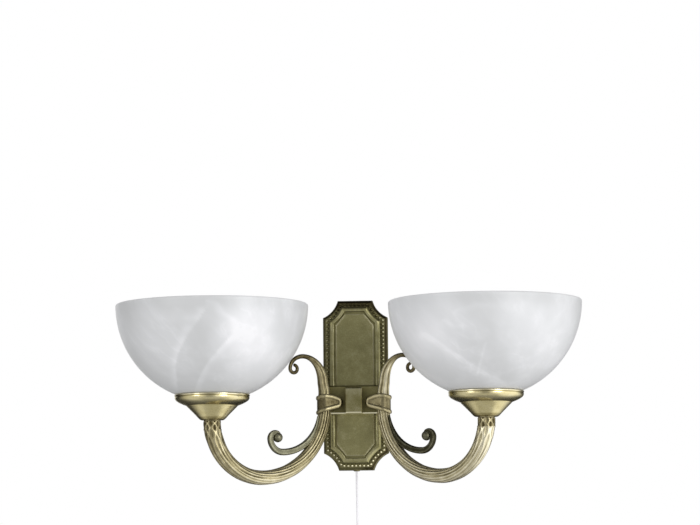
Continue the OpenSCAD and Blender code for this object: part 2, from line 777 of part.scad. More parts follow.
// One cable, from the bar's wireway through the bush, down and round the arm to the lamp
module arm_wire() {
    color("white") {
        translate([wire_join_x, -wireway_y, bar_z]) rotate([0, 90, 0])
            cylinder(h = root_x - wire_join_x, r = wire_r);
        bar_y(root_x, bar_z, wire_r, wireway_y, root_y);
        translate([root_x, -root_y, root_z]) cylinder(h = bar_z - root_z, r = wire_r);
        arm_plane() {
            translate([bend_1_r, 0, root_z]) rotate([90, 0, 0]) rotate([0, 0, 180])
                rotate_extrude(angle = 90) translate([bend_1_r, 0]) circle(r = wire_r);
            translate([bend_1_r, 0, bend_2_z]) rotate([90, 0, 0]) rotate([0, 0, 270])
                rotate_extrude(angle = 90) translate([bend_2_r, 0]) circle(r = wire_r);
            translate([neck_u, 0, bend_2_z]) cylinder(h = lamp_seat - bend_2_z, r = wire_r);
        }
    }
}

module lampholder() {
    color("white") at_cup() difference() {
        union() {
            translate([0, 0, holder_foot])
                cylinder(h = bowl_foot_z - holder_foot, r = holder_body_r);
            translate([0, 0, bowl_foot_z - flange_t]) cylinder(h = flange_t, r = flange_r);
            translate([0, 0, bowl_foot_z]) cylinder(h = holder_top - bowl_foot_z, r = holder_r);
        }
        translate([0, 0, holder_foot - cut])
            cylinder(h = lamp_seat - holder_foot + cut, r = nipple_r);
        translate([0, 0, lamp_foot])
            cylinder(h = holder_top - lamp_foot, r = shell_r + run_gap);
        translate([0, 0, lamp_foot + shell_h])
            cylinder(h = holder_top - lamp_foot, r = holder_r - skirt_wall);
    }
}

// Threaded metal shell that the lamp's cap turns into; it stands on the holder's floor
module lamp_shell() {
    color("goldenrod") at_cup() translate([0, 0, lamp_foot]) difference() {
        cylinder(h = shell_h, r = shell_r);
        translate([0, 0, -cut]) cylinder(h = shell_h + 2 * cut, r = shell_r - shell_wall);
    }
}

module lamp_contacts() {
    l = 5;
    w = 3;
    color("goldenrod") both_sides() at_cup() translate([-l / 2, -w / 2, lamp_foot])
        cube([l, w, contact_t]);
}

module shade() {
    steps = 18;
    z_in = bowl_foot_z + glass_t;
    outer = [for (k = [0:steps])
        let (z = bowl_foot_z + (rim_z - bowl_foot_z) * (1 - cos(90 * k / steps)))
        [bowl_at(z, 0), z]];
    inner = [for (k = [steps:-1:0])
        let (z = z_in + (rim_z - z_in) * (1 - cos(90 * k / steps)))
        [bowl_at(z, glass_t), z]];
    color("#dcdedd") at_cup() rotate_extrude($fn = 128)
        polygon(concat(outer, inner, [[fitter_d / 2, z_in], [fitter_d / 2, bowl_foot_z]]));
}

module shade_ring() {
    color("white") at_cup() translate([0, 0, bowl_foot_z + glass_t]) difference() {
        union() {
            cylinder(h = ring_flange_t, r = flange_r + 1);
            cylinder(h = ring_h, r = holder_r + 2.2);
        }
        translate([0, 0, -cut]) cylinder(h = ring_h + 2 * cut, r = holder_r + run_gap);
    }
}

module lamp_glass() {
    top = lamp_foot + contact_t + lamp_l;
    neck_z = lamp_foot + lamp_cap_h;
    color("#f4f2ea") at_cup() rotate_extrude($fn = 64) polygon(concat(
        [[0, neck_z], [lamp_cap_r - 0.2, neck_z], [lamp_cap_r + 0.4, neck_z + 4]],
        [for (a = [-50:10:80]) [lamp_r * cos(a), top - lamp_r + lamp_r * sin(a)]],
        [[0, top]]));
}

module lamp_cap() {
    shoulder_h = 4;
    tip_r = 2.5;
    color("goldenrod") at_cup() {
        translate([0, 0, lamp_foot + shoulder_h])
            cylinder(h = lamp_cap_h - shoulder_h, r = lamp_cap_r);
        translate([0, 0, lamp_foot + contact_t])
            cylinder(h = shoulder_h - contact_t, r1 = tip_r, r2 = lamp_cap_r - 1);
    }
}

// Pull switch: a box behind the plate's lower panel, with its cover on the wall side
module switch_body() {
    w = switch_w;
    h = switch_top - switch_low;
    t = switch_wall;
    color("#e8e6df") difference() {
        union() {
            difference() {
                slab(switch_back + cover_t, switch_front)
                    translate([0, switch_low + h / 2]) square([w, h], center = true);
                slab(switch_back, switch_front - t)
                    translate([0, switch_low + h / 2]) square([w - 2 * t, h - 2 * t], center = true);
            }
            bar_y(0, axis_z, pin_r, cam_y, switch_front);
            slab(switch_front - ear_t, switch_front) translate([0, ear_z]) difference() {
                square([ear_w, ear_h], center = true);
                square([switch_w - t, ear_h + cut], center = true);
            }
        }
        translate([0, -cord_y, switch_low - cut])
            cylinder(h = t + 2 * cut, r = cord_d / 2 + seat_gap);
        for (side = [-1, 1])
            bar_y(side * ear_x, ear_z, ear_screw_r + run_gap,
                switch_front - ear_t - cut, switch_front + cut);
    }
}

module switch_cover() {
    color("#e8e6df") slab(switch_back, switch_back + cover_t)
        translate([0, (switch_low + switch_top) / 2])
            square([switch_w, switch_top - switch_low], center = true);
}

module switch_screws() {
    color("silver") both_sides() {
        bar_y(ear_x, ear_z, ear_screw_r, switch_front - ear_t, deep_y + ear_grip);
        bar_y(ear_x, ear_z, ear_head_r, switch_front - ear_t - ear_head_h, switch_front - ear_t);
    }
}

module switch_contacts() {
    color("goldenrod") both_sides()
        slab(switch_front - switch_wall - 1, switch_front - switch_wall)
            translate([cam_r, plunger_top - contact_h / 4])
                square([contact_w, contact_h], center = true);
}

module switch_cam() {
    color("#c8c4b8") difference() {
        slab(cam_y, cam_y + cam_t) translate([0, axis_z]) difference() {
            circle(r = cam_r);
            for (k = [0:cam_teeth - 1]) rotate(360 * k / cam_teeth)
                translate([cam_r - 0.6, 0.6]) square([1.6, 1.2]);
        }
        bar_y(0, axis_z, pin_r + run_gap, cam_y - cut, cam_y + cam_t + cut);
    }
}

module switch_plunger() {
    color("#c8c4b8") difference() {
        union() {
            slab(cord_y - plunger_half_t, cord_y + plunger_half_t)
                translate([-plunger_w / 2, plunger_low])
                square([plunger_w, plunger_top - plunger_low]);
            slab(cord_y - plunger_half_t, cord_y + plunger_half_t)
                translate([-plunger_w / 2, plunger_top - pawl_w])
                square([plunger_w / 2 + cam_r + plunger_gap + pawl_w, pawl_w]);
            slab(cord_y - plunger_half_t, cam_y + cam_t)
                translate([cam_r + plunger_gap, plunger_top - 2 * pawl_w])
                square([pawl_w, 2 * pawl_w]);
        }
        translate([0, -cord_y, plunger_low - cut])
            cylinder(h = cord_grip + cut, r = cord_d / 2 + run_gap);
    }
}

module switch_spring() {
    steps = 10;
    low = switch_low + switch_wall + spring_wire / 2 + 0.1;
    rise = plunger_low - spring_wire / 2 - 0.1 - low;
    path = [for (k = [0:spring_turns * steps])
        [360 * k / steps, low + rise * k / (spring_turns * steps)]];
    rings = [for (p = path) [for (j = [0:5])
        let (r = spring_r + spring_wire / 2 * cos(60 * j))
        [r * cos(p[0]), -cord_y + r * sin(p[0]), p[1] + spring_wire / 2 * sin(60 * j)]]];
    color("silver") skin(rings);
}

// The bush sits in the plate's bottom wall, with its flange on the inside
module cord_bush() {
    color("goldenrod") translate([0, -cord_y, -plate_h / 2]) difference() {
        union() {
            cylinder(h = cavity_in, r = bush_hole_r - run_gap);
            translate([0, 0, cavity_in]) cylinder(h = bush_flange_t, r = bush_hole_r + 0.6);
        }
        translate([0, 0, -cut])
            cylinder(h = cavity_in + bush_flange_t + 2 * cut, r = cord_d / 2 + seat_gap);
    }
}

module pull_cord() {
    r = cord_d / 2;
    color("white") skin([for (p = cord_route) [for (k = [0:7])
        [p[0] + r * cos(45 * k), -cord_y - r * sin(45 * k), cord_top - p[1]]]]);
}

module cord_knob() {
    r = knob_r;
    h = knob_h;
    color("white") translate([0, -cord_y, knob_top]) difference() {
        rotate_extrude() polygon([[0, 0], [r * 0.45, 0], [r * 0.6, -h * 0.1],
            [r * 0.75, -h * 0.35], [r, -h * 0.72], [r, -h * 0.88], [r * 0.8, -h], [0, -h]]);
        translate([0, 0, -h * 0.3]) cylinder(h = h, r = cord_d / 2 + 0.1);
    }
}

backplate();
wall_strap();
set_screws();
earth_screw();
terminal_block();
terminal_screws();
carrier_bar();
bar_screws();
centre_block();
block_screw();
plate_wiring();
mirror([1, 0, 0]) arm_socket();  // arm_socket_left
arm_socket();  // arm_socket_right
socket_bushes();
mirror([1, 0, 0]) arm();  // arm_left
arm();  // arm_right
mirror([1, 0, 0]) tie();  // tie_left
tie();  // tie_right
mirror([1, 0, 0]) upper_scroll();  // upper_scroll_left
upper_scroll();  // upper_scroll_right
mirror([1, 0, 0]) lower_scroll();  // lower_scroll_left
lower_scroll();  // lower_scroll_right
mirror([1, 0, 0]) neck_collar();  // neck_collar_left
neck_collar();  // neck_collar_right
mirror([1, 0, 0]) nipple();  // nipple_left
nipple();  // nipple_right
mirror([1, 0, 0]) cup();  // cup_left
cup();  // cup_right
mirror([1, 0, 0]) cup_nut();  // cup_nut_left
cup_nut();  // cup_nut_right
mirror([1, 0, 0]) arm_wire();  // arm_wire_left
arm_wire();  // arm_wire_right
mirror([1, 0, 0]) lampholder();  // lampholder_left
lampholder();  // lampholder_right
mirror([1, 0, 0]) lamp_shell();  // lamp_shell_left
lamp_shell();  // lamp_shell_right
lamp_contacts();
mirror([1, 0, 0]) shade();  // shade_left
shade();  // shade_right
mirror([1, 0, 0]) shade_ring();  // shade_ring_left
shade_ring();  // shade_ring_right
mirror([1, 0, 0]) lamp_glass();  // lamp_glass_left
lamp_glass();  // lamp_glass_right
mirror([1, 0, 0]) lamp_cap();  // lamp_cap_left
lamp_cap();  // lamp_cap_right
switch_body();
switch_cover();
switch_screws();
switch_contacts();
switch_cam();
switch_plunger();
switch_spring();
cord_bush();
pull_cord();
cord_knob();
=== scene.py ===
import json
from math import atan2, cos, pi, radians, sin, sqrt

import bmesh
import bpy
import numpy as np
from mathutils import Matrix, Vector


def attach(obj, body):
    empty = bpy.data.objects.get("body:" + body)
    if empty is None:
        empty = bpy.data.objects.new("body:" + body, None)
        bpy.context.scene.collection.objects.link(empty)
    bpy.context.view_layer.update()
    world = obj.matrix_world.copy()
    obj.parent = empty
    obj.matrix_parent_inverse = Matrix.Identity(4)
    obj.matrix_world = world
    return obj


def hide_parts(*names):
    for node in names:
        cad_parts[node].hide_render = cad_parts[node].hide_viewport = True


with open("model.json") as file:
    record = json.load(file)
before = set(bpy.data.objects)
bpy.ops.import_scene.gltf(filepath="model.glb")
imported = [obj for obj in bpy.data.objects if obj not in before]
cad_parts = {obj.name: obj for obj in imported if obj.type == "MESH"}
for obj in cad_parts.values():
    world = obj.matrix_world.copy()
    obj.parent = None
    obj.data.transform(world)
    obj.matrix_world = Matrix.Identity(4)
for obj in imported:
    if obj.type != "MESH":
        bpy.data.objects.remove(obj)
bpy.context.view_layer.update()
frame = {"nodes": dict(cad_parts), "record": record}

MM = 0.001
scene = bpy.context.scene

# Sizes that the CAD part has too. Each arm stands in an upright plane through its root, which
# is ROOT_X from the middle and ROOT_Y off the wall, turned by TURN towards the viewer.
ROOT_X, ROOT_Y, TURN = 27.2, 37.0, radians(35)
NECK_OUT = 119.0
CUP_X = ROOT_X + NECK_OUT * cos(TURN)
CUP_Y = -ROOT_Y - NECK_OUT * sin(TURN)
SOCKET_TOP, ROOT_Z, COLLAR_Z, CUP_FOOT = -10.55, -20.0, -45.8, -36.8
BEND_1, BEND_2, BEND_2_Z, BEND_END = 68.5, 50.5, -38.0, radians(171.11)
ROOT_R, NECK_R = 6.0, 8.1
BOWL_R, BOWL_DEPTH, GLASS, BOWL_FOOT, BOWL_HOLE, RIM = 88.0, 88.5, 3.2, -17.5, 14.5, 68.589
CORD_R, CORD_Y, CORD_TOP, KNOB_TOP = 1.0, 5.6, -58.0, -206.0

# The cord's way down from its top in the switch: (drift to the right, drop)
CORD_ROUTE = [
    (0, 0), (0, 4), (0, 9), (0, 14), (0, 19), (0, 24), (0, 29), (0, 34), (0, 39), (0.1, 44),
    (0.1, 49), (0.2, 54), (0.2, 60), (0.3, 66), (0.3, 72), (0.4, 78), (0.4, 84), (0.4, 90),
    (0.4, 96), (0.3, 102), (0.3, 108), (0.2, 114), (0.2, 120), (0.1, 126), (0.1, 132),
    (0, 138), (0, 144), (0, 150)]


# Meshes

def piece(name, points, faces, wear=None, angle=40, slot=None, nodes=(), body="lamp",
          finish=None, extra=None):
    """A closed mesh from points in millimetres, riding a body and standing for CAD nodes.
    wear and extra hold a value for each point; faces that meet at more than angle degrees
    stay sharp."""
    mesh = bpy.data.meshes.new(name)
    mesh.from_pydata((np.asarray(points, float) * MM).tolist(), [], faces)
    work = bmesh.new()
    work.from_mesh(mesh)
    bmesh.ops.recalc_face_normals(work, faces=work.faces)
    work.to_mesh(mesh)
    work.free()
    for key, values in {"wear": wear, **(extra or {})}.items():
        if values is not None:
            layer = mesh.attributes.new(key, "FLOAT", "POINT")
            layer.data.foreach_set("value", np.asarray(values, np.float32).ravel())
    mesh.shade_smooth()
    mesh.set_sharp_from_angle(angle=radians(angle))
    obj = bpy.data.objects.new(name, mesh)
    scene.collection.objects.link(obj)
    if finish:
        mesh.materials.append(finish)
    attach(obj, body)
    if nodes:
        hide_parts(*nodes)
    return obj


def quads(m, n, join=False):
    """Faces between m rows of n points each; each row is a loop, and join also joins the
    last row to the first."""
    i, k = np.meshgrid(np.arange(m if join else m - 1), np.arange(n), indexing="ij")
    a, b = i * n + k, i * n + (k + 1) % n
    c, d = (i + 1) % m * n + (k + 1) % n, (i + 1) % m * n + k
    return np.stack([a, b, c, d], -1).reshape(-1, 4).tolist()


def fan(middle, loop):
    """Triangles from a middle point to each two neighbours of a loop, all by number."""
    return np.stack([np.full(len(loop), middle), np.roll(loop, -1), loop], -1).tolist()


def skin(name, rows, wear=None, join=False, **more):
    """A closed skin over rows of points: joined end to end, or closed by a fan of
    triangles to the middle of the first and last row."""
    m, n = rows.shape[:2]
    points = rows.reshape(-1, 3)
    faces = quads(m, n, join)
    extra = more.pop("extra", {})
    extra = {k: np.broadcast_to(v, (m, n)).ravel() for k, v in extra.items()}
    if wear is not None:
        wear = np.broadcast_to(wear, (m, n)).ravel()
    if not join:
        points = np.vstack([points, rows[0].mean(0), rows[-1].mean(0)])
        first = np.arange(n)
        faces += fan(m * n, first) + fan(m * n + 1, (m - 1) * n + first[::-1])
        if wear is not None:
            wear = np.append(wear, [wear[:n].mean(), wear[-n:].mean()])
        extra = {k: np.append(v, [v[:n].mean(), v[-n:].mean()]) for k, v in extra.items()}
    return piece(name, points, faces, wear, extra=extra, **more)


def round_turn(n):
    """n angles evenly spaced round a circle."""
    return np.linspace(0, 2 * pi, n, endpoint=False)


def run_along(points):
    """The length run along a line of points, at each of them."""
    return np.append(0, np.cumsum(np.linalg.norm(np.diff(points, axis=0), axis=1)))


def turned(profile, centre, n=96):
    """Rows of points: the profile's (radius, height) pairs carried round an upright axis."""
    t = round_turn(n)
    p = np.asarray(profile, float)[:, :, None]
    return np.stack([centre[0] + p[:, 0] * np.sin(t), centre[1] - p[:, 0] * np.cos(t),
                     p[:, 1] + 0 * t], -1)


def in_plane(u, v, z):
    """Points given out from the arm's root, across and up, in the lamp's X, Y and Z."""
    return np.stack([ROOT_X + u * cos(TURN) + v * sin(TURN),
                     -ROOT_Y - u * sin(TURN) + v * cos(TURN), z + 0 * u], -1)


def stations(out, up, slope, radius):
    """Rows (out, up, slope in degrees, radius) of a path in the arm's plane; a single value
    holds for every row."""
    return np.stack(np.broadcast_arrays(out, up, slope, radius), -1).astype(float)


def tube(path, radius, n):
    """Rings of n points square to a path of stations. radius has a row for each station,
    and one or n columns."""
    t = round_turn(n)
    u, z, slope = path[:, 0:1], path[:, 1:2], np.radians(path[:, 2:3])
    return in_plane(u - radius * np.cos(t) * np.sin(slope), radius * np.sin(t),
                    z + radius * np.cos(t) * np.cos(slope))


def sides(rows):
    """The rows on the lamp's right, and their mirror image on its left."""
    return (("right", rows), ("left", rows * [-1, 1, 1]))


def both(name, rows, wear, nodes=(), painted_light_on_right=0.0, **more):
    """A piece on the right and its mirror image on the left. The value for the right one alone
    is added to its wear as painted light where above 0 and as painted shade where below 0,
    because the light falls unevenly on the two sides."""
    for side, placed in sides(rows):
        rubbed = wear if wear is None or side == "left" else wear + painted_light_on_right
        skin(f"{name}_{side}", placed, rubbed, nodes=[f"{n}_{side}" for n in nodes], **more)


def ease(x):
    """0 below 0, 1 above 1, and a smooth rise between: 3 x squared less 2 x cubed."""
    x = np.clip(x, 0, 1)
    return x * x * (3 - 2 * x)


def bump_at(x, middle, width):
    """1 at the middle, falling off as exp(-(distance / width) squared)."""
    return np.exp(-((x - middle) / width) ** 2)


# Materials

def colour(code):
    """Linear colour of an sRGB hex code."""
    parts = [int(code[i:i + 2], 16) / 255 for i in (1, 3, 5)]
    return [c / 12.92 if c <= 0.04045 else ((c + 0.055) / 1.055) ** 2.4 for c in parts] + [1]


def fill(tree, node, inputs):
    """Sets a node's inputs by number or name to values, or links them to sockets."""
    for key, value in inputs.items():
        if isinstance(value, bpy.types.NodeSocket):
            tree.links.new(value, node.inputs[key])
        else:
            node.inputs[key].default_value = value


def add(tree, kind, *values, inputs=None, stops=(), **settings):
    """The outputs of a new shader node with its settings. values go to its inputs in order,
    inputs by name. stops are a colour ramp's places with their colours or grey levels."""
    node = tree.nodes.new("ShaderNode" + kind)
    for key, value in settings.items():
        setattr(node, key, value)
    fill(tree, node, {**dict(enumerate(values)), **(inputs or {})})
    if stops:
        points = node.color_ramp.elements
        while len(points) < len(stops):
            points.new(0.5)
        for point, (at, shade) in zip(points, stops):
            point.position = at
            point.color = colour(shade) if isinstance(shade, str) else [shade] * 3 + [1]
    return node.outputs


def weighted(tree, level, *terms, clamp=False):
    """level plus each term's value times its weight, kept within 0 and 1 where clamp says."""
    for value, weight in terms:
        level = add(tree, "Math", value, weight, level, operation="MULTIPLY_ADD")[0]
    level.node.use_clamp = clamp
    return level


def product(tree, first, *others):
    """Values multiplied together."""
    for other in others:
        first = add(tree, "Math", first, other, operation="MULTIPLY")[0]
    return first


def patches(tree, where, size_mm, detail=2.0, stretch=(1, 1, 1), turn=(0, 0, 0)):
    """Soft random values near 0.5 in patches size_mm across, longer where stretch is above
    1, in a space turned by turn."""
    scale = [1 / (size_mm * MM * s) for s in stretch]
    spot = add(tree, "Mapping", inputs={"Vector": where, "Rotation": turn})[0]
    spot = add(tree, "Mapping", inputs={"Vector": spot, "Scale": scale})[0]
    return add(tree, "TexNoise", inputs={"Vector": spot, "Scale": 1.0, "Detail": detail})[0]


def material(name):
    """A new material with its tree, its shader and the place on the piece."""
    made = bpy.data.materials.new(name)
    made.use_nodes = True
    tree = made.node_tree
    return made, tree, tree.nodes["Principled BSDF"], add(tree, "TexCoord")["Object"]


def bar_painted_light(tree, where):
    """Painted light on the bar and block, given as their wear: lighter on what stands further
    off the wall, along the bar's top and at its right end, and lightest on the faces that look
    down, a painted highlight, while the bar behind stays darker as painted shade. Each is a
    range of places, in metres, or of the normal's Z, with the value at its two ends."""
    x, y, z = add(tree, "SeparateXYZ", where)
    normal = add(tree, "TexCoord")["Normal"]
    facing_up = add(tree, "SeparateXYZ", normal)["Z"]
    # Painted light: places and the normal's Z that lighten the bar and block
    ranges = [(y, -0.030, -0.042, 0.28, 0.52), (z, -0.012, -0.003, 0.0, 0.14),
              (x, 0.008, 0.014, 0.0, 0.09), (facing_up, -0.3, -0.65, 0.0, 0.9)]
    return weighted(tree, 0.0, *((add(tree, "MapRange", *r)[0], 1.0) for r in ranges))


def brass(name, dark, face, bright, rough=(0.5, 0.3), raised=None, lines=None, mottle=0.5):
    """Brass under an antique patina that is dark in the hollows and rubbed through on the
    raised parts, by the piece's wear value, the even value raised or a function raised; on
    several pieces that value also holds painted light and shade.
    rough is the roughness of the patina and of bare brass. lines gives the width and the
    stretch of a fine grain, as brushing or spinning leaves it. Clouds 7 mm across and a
    grain of 0.7 mm, coarser than the real one so that it shows, mottle the wear."""
    made, tree, shader, where = material(name)
    grain_share, streak_share = 0.3, 0.3
    if raised is None:
        raised = add(tree, "Attribute", attribute_name="wear")["Fac"]
    elif callable(raised):
        raised = raised(tree, where)
    cloud, grain = patches(tree, where, 7, 3), patches(tree, where, 0.7)
    amount = weighted(tree, -(mottle + grain_share) / 2, (raised, 1.0), (cloud, mottle),
                      (grain, grain_share), clamp=True)
    roughness = weighted(tree, rough[0], (amount, rough[1] - rough[0]))
    height = grain
    if lines:
        streak = patches(tree, where, lines[0], 3, stretch=lines[1])
        roughness = weighted(tree, -streak_share / 2, (roughness, 1.0),
                             (streak, streak_share))
        height = weighted(tree, 0.0, (grain, 0.4), (streak, 1.0))
    tint = add(tree, "ValToRGB", amount, stops=[(0.05, dark), (0.5, face), (1.0, bright)])[0]
    relief = add(tree, "Bump", inputs={"Height": height, "Strength": 0.35,
                                       "Distance": 0.05 * MM})[0]
    fill(tree, shader, {"Base Color": tint, "Metallic": 1.0, "Roughness": roughness,
                        "Normal": relief})
    return made


def steel_sheet():
    """Zinc-plated steel: pale, slightly blue, with a cloudy spangle 3 mm across, a satin
    gloss and a grain of 0.5 mm, coarser than the real one so that it shows."""
    made, tree, shader, where = material("zinc_plated_steel")
    spangle = add(tree, "TexVoronoi", inputs={"Vector": where, "Scale": 1 / (3 * MM)})[0]
    cloud = patches(tree, where, 5)
    tint = add(tree, "ValToRGB", weighted(tree, 0.0, (spangle, 0.4), (cloud, 0.6)),
               stops=[(0.2, "#9ea1a6"), (0.6, "#b9bcc0"), (0.9, "#cfd1d2")])[0]
    relief = add(tree, "Bump", inputs={"Height": patches(tree, where, 0.5),
                                       "Strength": 0.2, "Distance": 0.03 * MM})[0]
    fill(tree, shader, {"Base Color": tint, "Metallic": 1.0, "Normal": relief,
                        "Roughness": weighted(tree, 0.28, (cloud, 0.22))})
    return made


def moulded(name, low, high, rough, sheen=0.0):
    """Moulded or drawn plastic: nearly even, with faint flow clouds 6 mm across and a skin
    whose grain of 0.4 mm is coarser than the real one, so that it shows."""
    made, tree, shader, where = material(name)
    cloud = patches(tree, where, 6)
    tint = add(tree, "ValToRGB", cloud, stops=[(0.3, low), (0.7, high)])[0]
    relief = add(tree, "Bump", inputs={"Height": patches(tree, where, 0.4),
                                       "Strength": 0.3, "Distance": 0.02 * MM})[0]
    fill(tree, shader, {"Base Color": tint, "Sheen Weight": sheen, "Normal": relief,
                        "Roughness": weighted(tree, rough - 0.05, (cloud, 0.13))})
    return made


def marbled_glass():
    """Satin white glass with cloudy grey areas 30 mm across and thin brighter wisps that run
    diagonally through it, as alabaster-look glass has, and the bowl's own veins together with
    the painted light and shade of its ovals."""
    made, tree, shader, where = material("marbled_satin_glass")
    slant = (0.35, 0.65, 0.0)
    cloud = patches(tree, where, 30, 3, stretch=(1, 1, 2.2), turn=slant)
    wisp = patches(tree, where, 11, 4, stretch=(1, 1, 7), turn=slant)
    off_ridge = add(tree, "Math", weighted(tree, -0.5, (wisp, 1.0)), operation="ABSOLUTE")[0]
    ridge = add(tree, "MapRange", off_ridge, 0.0, 0.06, 1.0, 0.0)[0]
    thin = product(tree, ridge, add(tree, "MapRange", cloud, 0.45, 0.62)[0])
    mist = add(tree, "MapRange", cloud, 0.3, 0.7, interpolation_type="SMOOTHSTEP")[0]
    # The bowl's veins together with the painted light and shade of its ovals
    vein_and_painted_light = add(tree, "Attribute", attribute_name="vein_and_painted_light")["Fac"]
    amount = weighted(tree, 0.0, (mist, 0.3), (thin, 0.12), (vein_and_painted_light, 1.0), clamp=True)
    tint = add(tree, "ValToRGB", amount,
               stops=[(0.0, "#cdcecf"), (0.45, "#dddee0"), (1.0, "#f5f5f8")])[0]
    relief = add(tree, "Bump", inputs={"Height": patches(tree, where, 0.6),
                                       "Strength": 0.12, "Distance": 0.03 * MM})[0]
    fill(tree, shader, {"Base Color": tint, "Roughness": 0.38, "Subsurface Weight": 0.2,
                        "Subsurface Radius": (1, 1, 1), "Subsurface Scale": 4 * MM,
                        "Normal": relief})
    return made


def frosted_glass():
    """The small lamp's glass, frosted inside: near white with a soft cloud and some gloss."""
    made, tree, shader, where = material("frosted_lamp_glass")
    tint = add(tree, "ValToRGB", patches(tree, where, 12),
               stops=[(0.3, "#efede4"), (0.7, "#faf9f4")])[0]
    fill(tree, shader, {"Base Color": tint, "Roughness": 0.22, "Subsurface Weight": 0.3,
                        "Subsurface Radius": (1, 1, 1), "Subsurface Scale": 5 * MM})
    return made


# Cast and brushed up and down: brown-green patina with fine upright lines
PLATE = brass("cast_brass_brushed_patina", "#3b3420", "#989368", "#f0e9c6",
              lines=(0.5, (1, 1, 25)), mottle=0.25)
# Cast like the plate but smoother: darker as painted shade, with painted light where it stands
# out, along its top and right end, and a painted highlight on faces that look down
BAR = brass("cast_brass_bar_patina", "#3b3420", "#868056", "#faf4d4", raised=bar_painted_light,
            mottle=0.3)
# Cast and reeded: dark grooves between crests that are rubbed pale
ARM = brass("cast_brass_reeded_patina", "#4a4129", "#aba17d", "#f0e8cc", rough=(0.48, 0.3))
# Cast and hardly touched: darker and greyer
SCROLL = brass("cast_brass_darkened_patina", "#3a3828", "#8f8d76", "#d0cfbc",
               rough=(0.5, 0.33))
# Spun on a lathe: yellower and glossier, with fine rings round the axis
CUP = brass("spun_brass_satin_patina", "#6b5c2c", "#d3c796", "#f6f0da", rough=(0.27, 0.2),
            lines=(0.35, (60, 60, 1)), mottle=0.25)
# Turned and left bare: even, warm yellow and glossy
TURNED = brass("turned_brass", "#8a7236", "#c9a857", "#e6cd84", rough=(0.3, 0.22),
               raised=0.6, mottle=0.2)
STEEL = steel_sheet()
# Moulded: a warm white with a soft gloss
WHITE = moulded("moulded_white_plastic", "#e2e0d9", "#eceae4", 0.35)
# Moulded and undyed: milky and duller
NYLON = moulded("natural_nylon", "#dad8cf", "#e8e6de", 0.45, sheen=0.2)
# Braided and bleached: a clean dull white
CORD = moulded("braided_nylon_cord", "#f5f3f9", "#fbfafd", 0.6)
# Drawn over the wire: greyer white, half dull
INSULATION = moulded("extruded_white_insulation", "#dcdbd6", "#e8e7e2", 0.5)
SHADE = marbled_glass()
LAMP = frosted_glass()

FINISHES = {
    "plate_brass": PLATE, "bar_brass": BAR, "arm_brass": ARM, "scroll_brass": SCROLL,
    "cup_brass": CUP, "shade_glass": SHADE, "lamp_glass": LAMP, "steel": STEEL,
    "turned_brass": TURNED, "white_plastic": WHITE, "nylon": NYLON, "insulation": INSULATION}

for part in frame["record"]["subparts"]:
    slots = frame["nodes"][part["node"]].data.materials
    if not len(slots):
        slots.append(None)
    for i in range(len(slots)):
        slots[i] = FINISHES[part["material_slot"]]


# Camera, in metres: a long lens, low and a little right of the lamp's middle
LENS, CAMERA_AT = 142.1, (0.175, -2.605, -0.183)
CAMERA_WAY, CAMERA_ROLL = (-0.0691, 1, 0.11541), radians(-0.5)

camera = bpy.data.objects.new("camera", bpy.data.cameras.new("camera"))
scene.collection.objects.link(camera)
camera.data.lens = LENS
camera.location = CAMERA_AT
aim = Vector(CAMERA_WAY).to_track_quat("-Z", "Y").to_matrix()
camera.rotation_euler = (aim @ Matrix.Rotation(CAMERA_ROLL, 3, "Z")).to_euler()
scene.camera = camera


# Pull cord with its knob

line = bpy.data.curves.new("pull_cord_line", "CURVE")
line.dimensions = "3D"
run = line.splines.new("POLY")
run.points.add(len(CORD_ROUTE) - 1)
for point, (drift, drop) in zip(run.points, CORD_ROUTE):
    point.co = (drift * MM, -CORD_Y * MM, (CORD_TOP - drop) * MM, 1)
line.bevel_depth = CORD_R * MM
line.bevel_resolution = 3
line.use_fill_caps = True
line.materials.append(CORD)
cord = bpy.data.objects.new("braided_pull_cord", line)
scene.collection.objects.link(cord)
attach(cord, "pull")
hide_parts("pull_cord")

# (radius, height above the knob's top): up the cord's bore, over the collar, down the bell,
# across its foot and up the narrow hole
KNOB = [(1.05, -6), (1.05, -0.3), (1.3, 0), (2.2, 0), (2.55, -0.3), (2.7, -0.8),
        (2.75, -1.6), (2.6, -2.1), (2.75, -2.6), (3.1, -3.4), (3.6, -5), (4.15, -7.2),
        (4.7, -9.6), (5.15, -11.8), (5.42, -13.4), (5.5, -14.6), (5.4, -15.8), (5.0, -16.8),
        (4.3, -17.5), (3.2, -17.9), (1.6, -18), (0.4, -18), (0.4, -8), (1.05, -7.2)]
knob = skin("turned_cord_knob",
            turned([(r, KNOB_TOP + z) for r, z in KNOB], (0, -CORD_Y), 40),
            join=True, slot="white_plastic", nodes=["cord_knob"], body="pull", finish=WHITE,
            angle=50)


# Backplate with its bead row

PLATE_X, PLATE_Z = 30.5, 80.0
SCOOP_X, SCOOP_Z, SCOOP_R = 40.46, 86.9, 25.0
PANEL_X, PANEL_Z, PANEL_CUT = 18.0, 67.0, (9.0, 11.0)
BAR_LOW, BAR_HIGH, BAR_SEAT = -28.3, -1.4, 17.8
BEAD_INSET, BEAD_PITCH, BEAD_LIFT, BEAD_SIZE = 4.3, 3.7, 12.1, (1.4, 2.0, 1.4)
# Heights of the points along the straight sides, closer at the carrier bar's edges
SIDE_Z = [0, 1.36, 1.44, 10, 20, 28.24, 28.36, 40, 50]
END_X = [7, 3.5, 0]
CORNER_POINTS = 15

# The margin's insets: where it starts, where the bead channel starts, and where both end
MARGIN = (0.5, 2.5, 6.4)

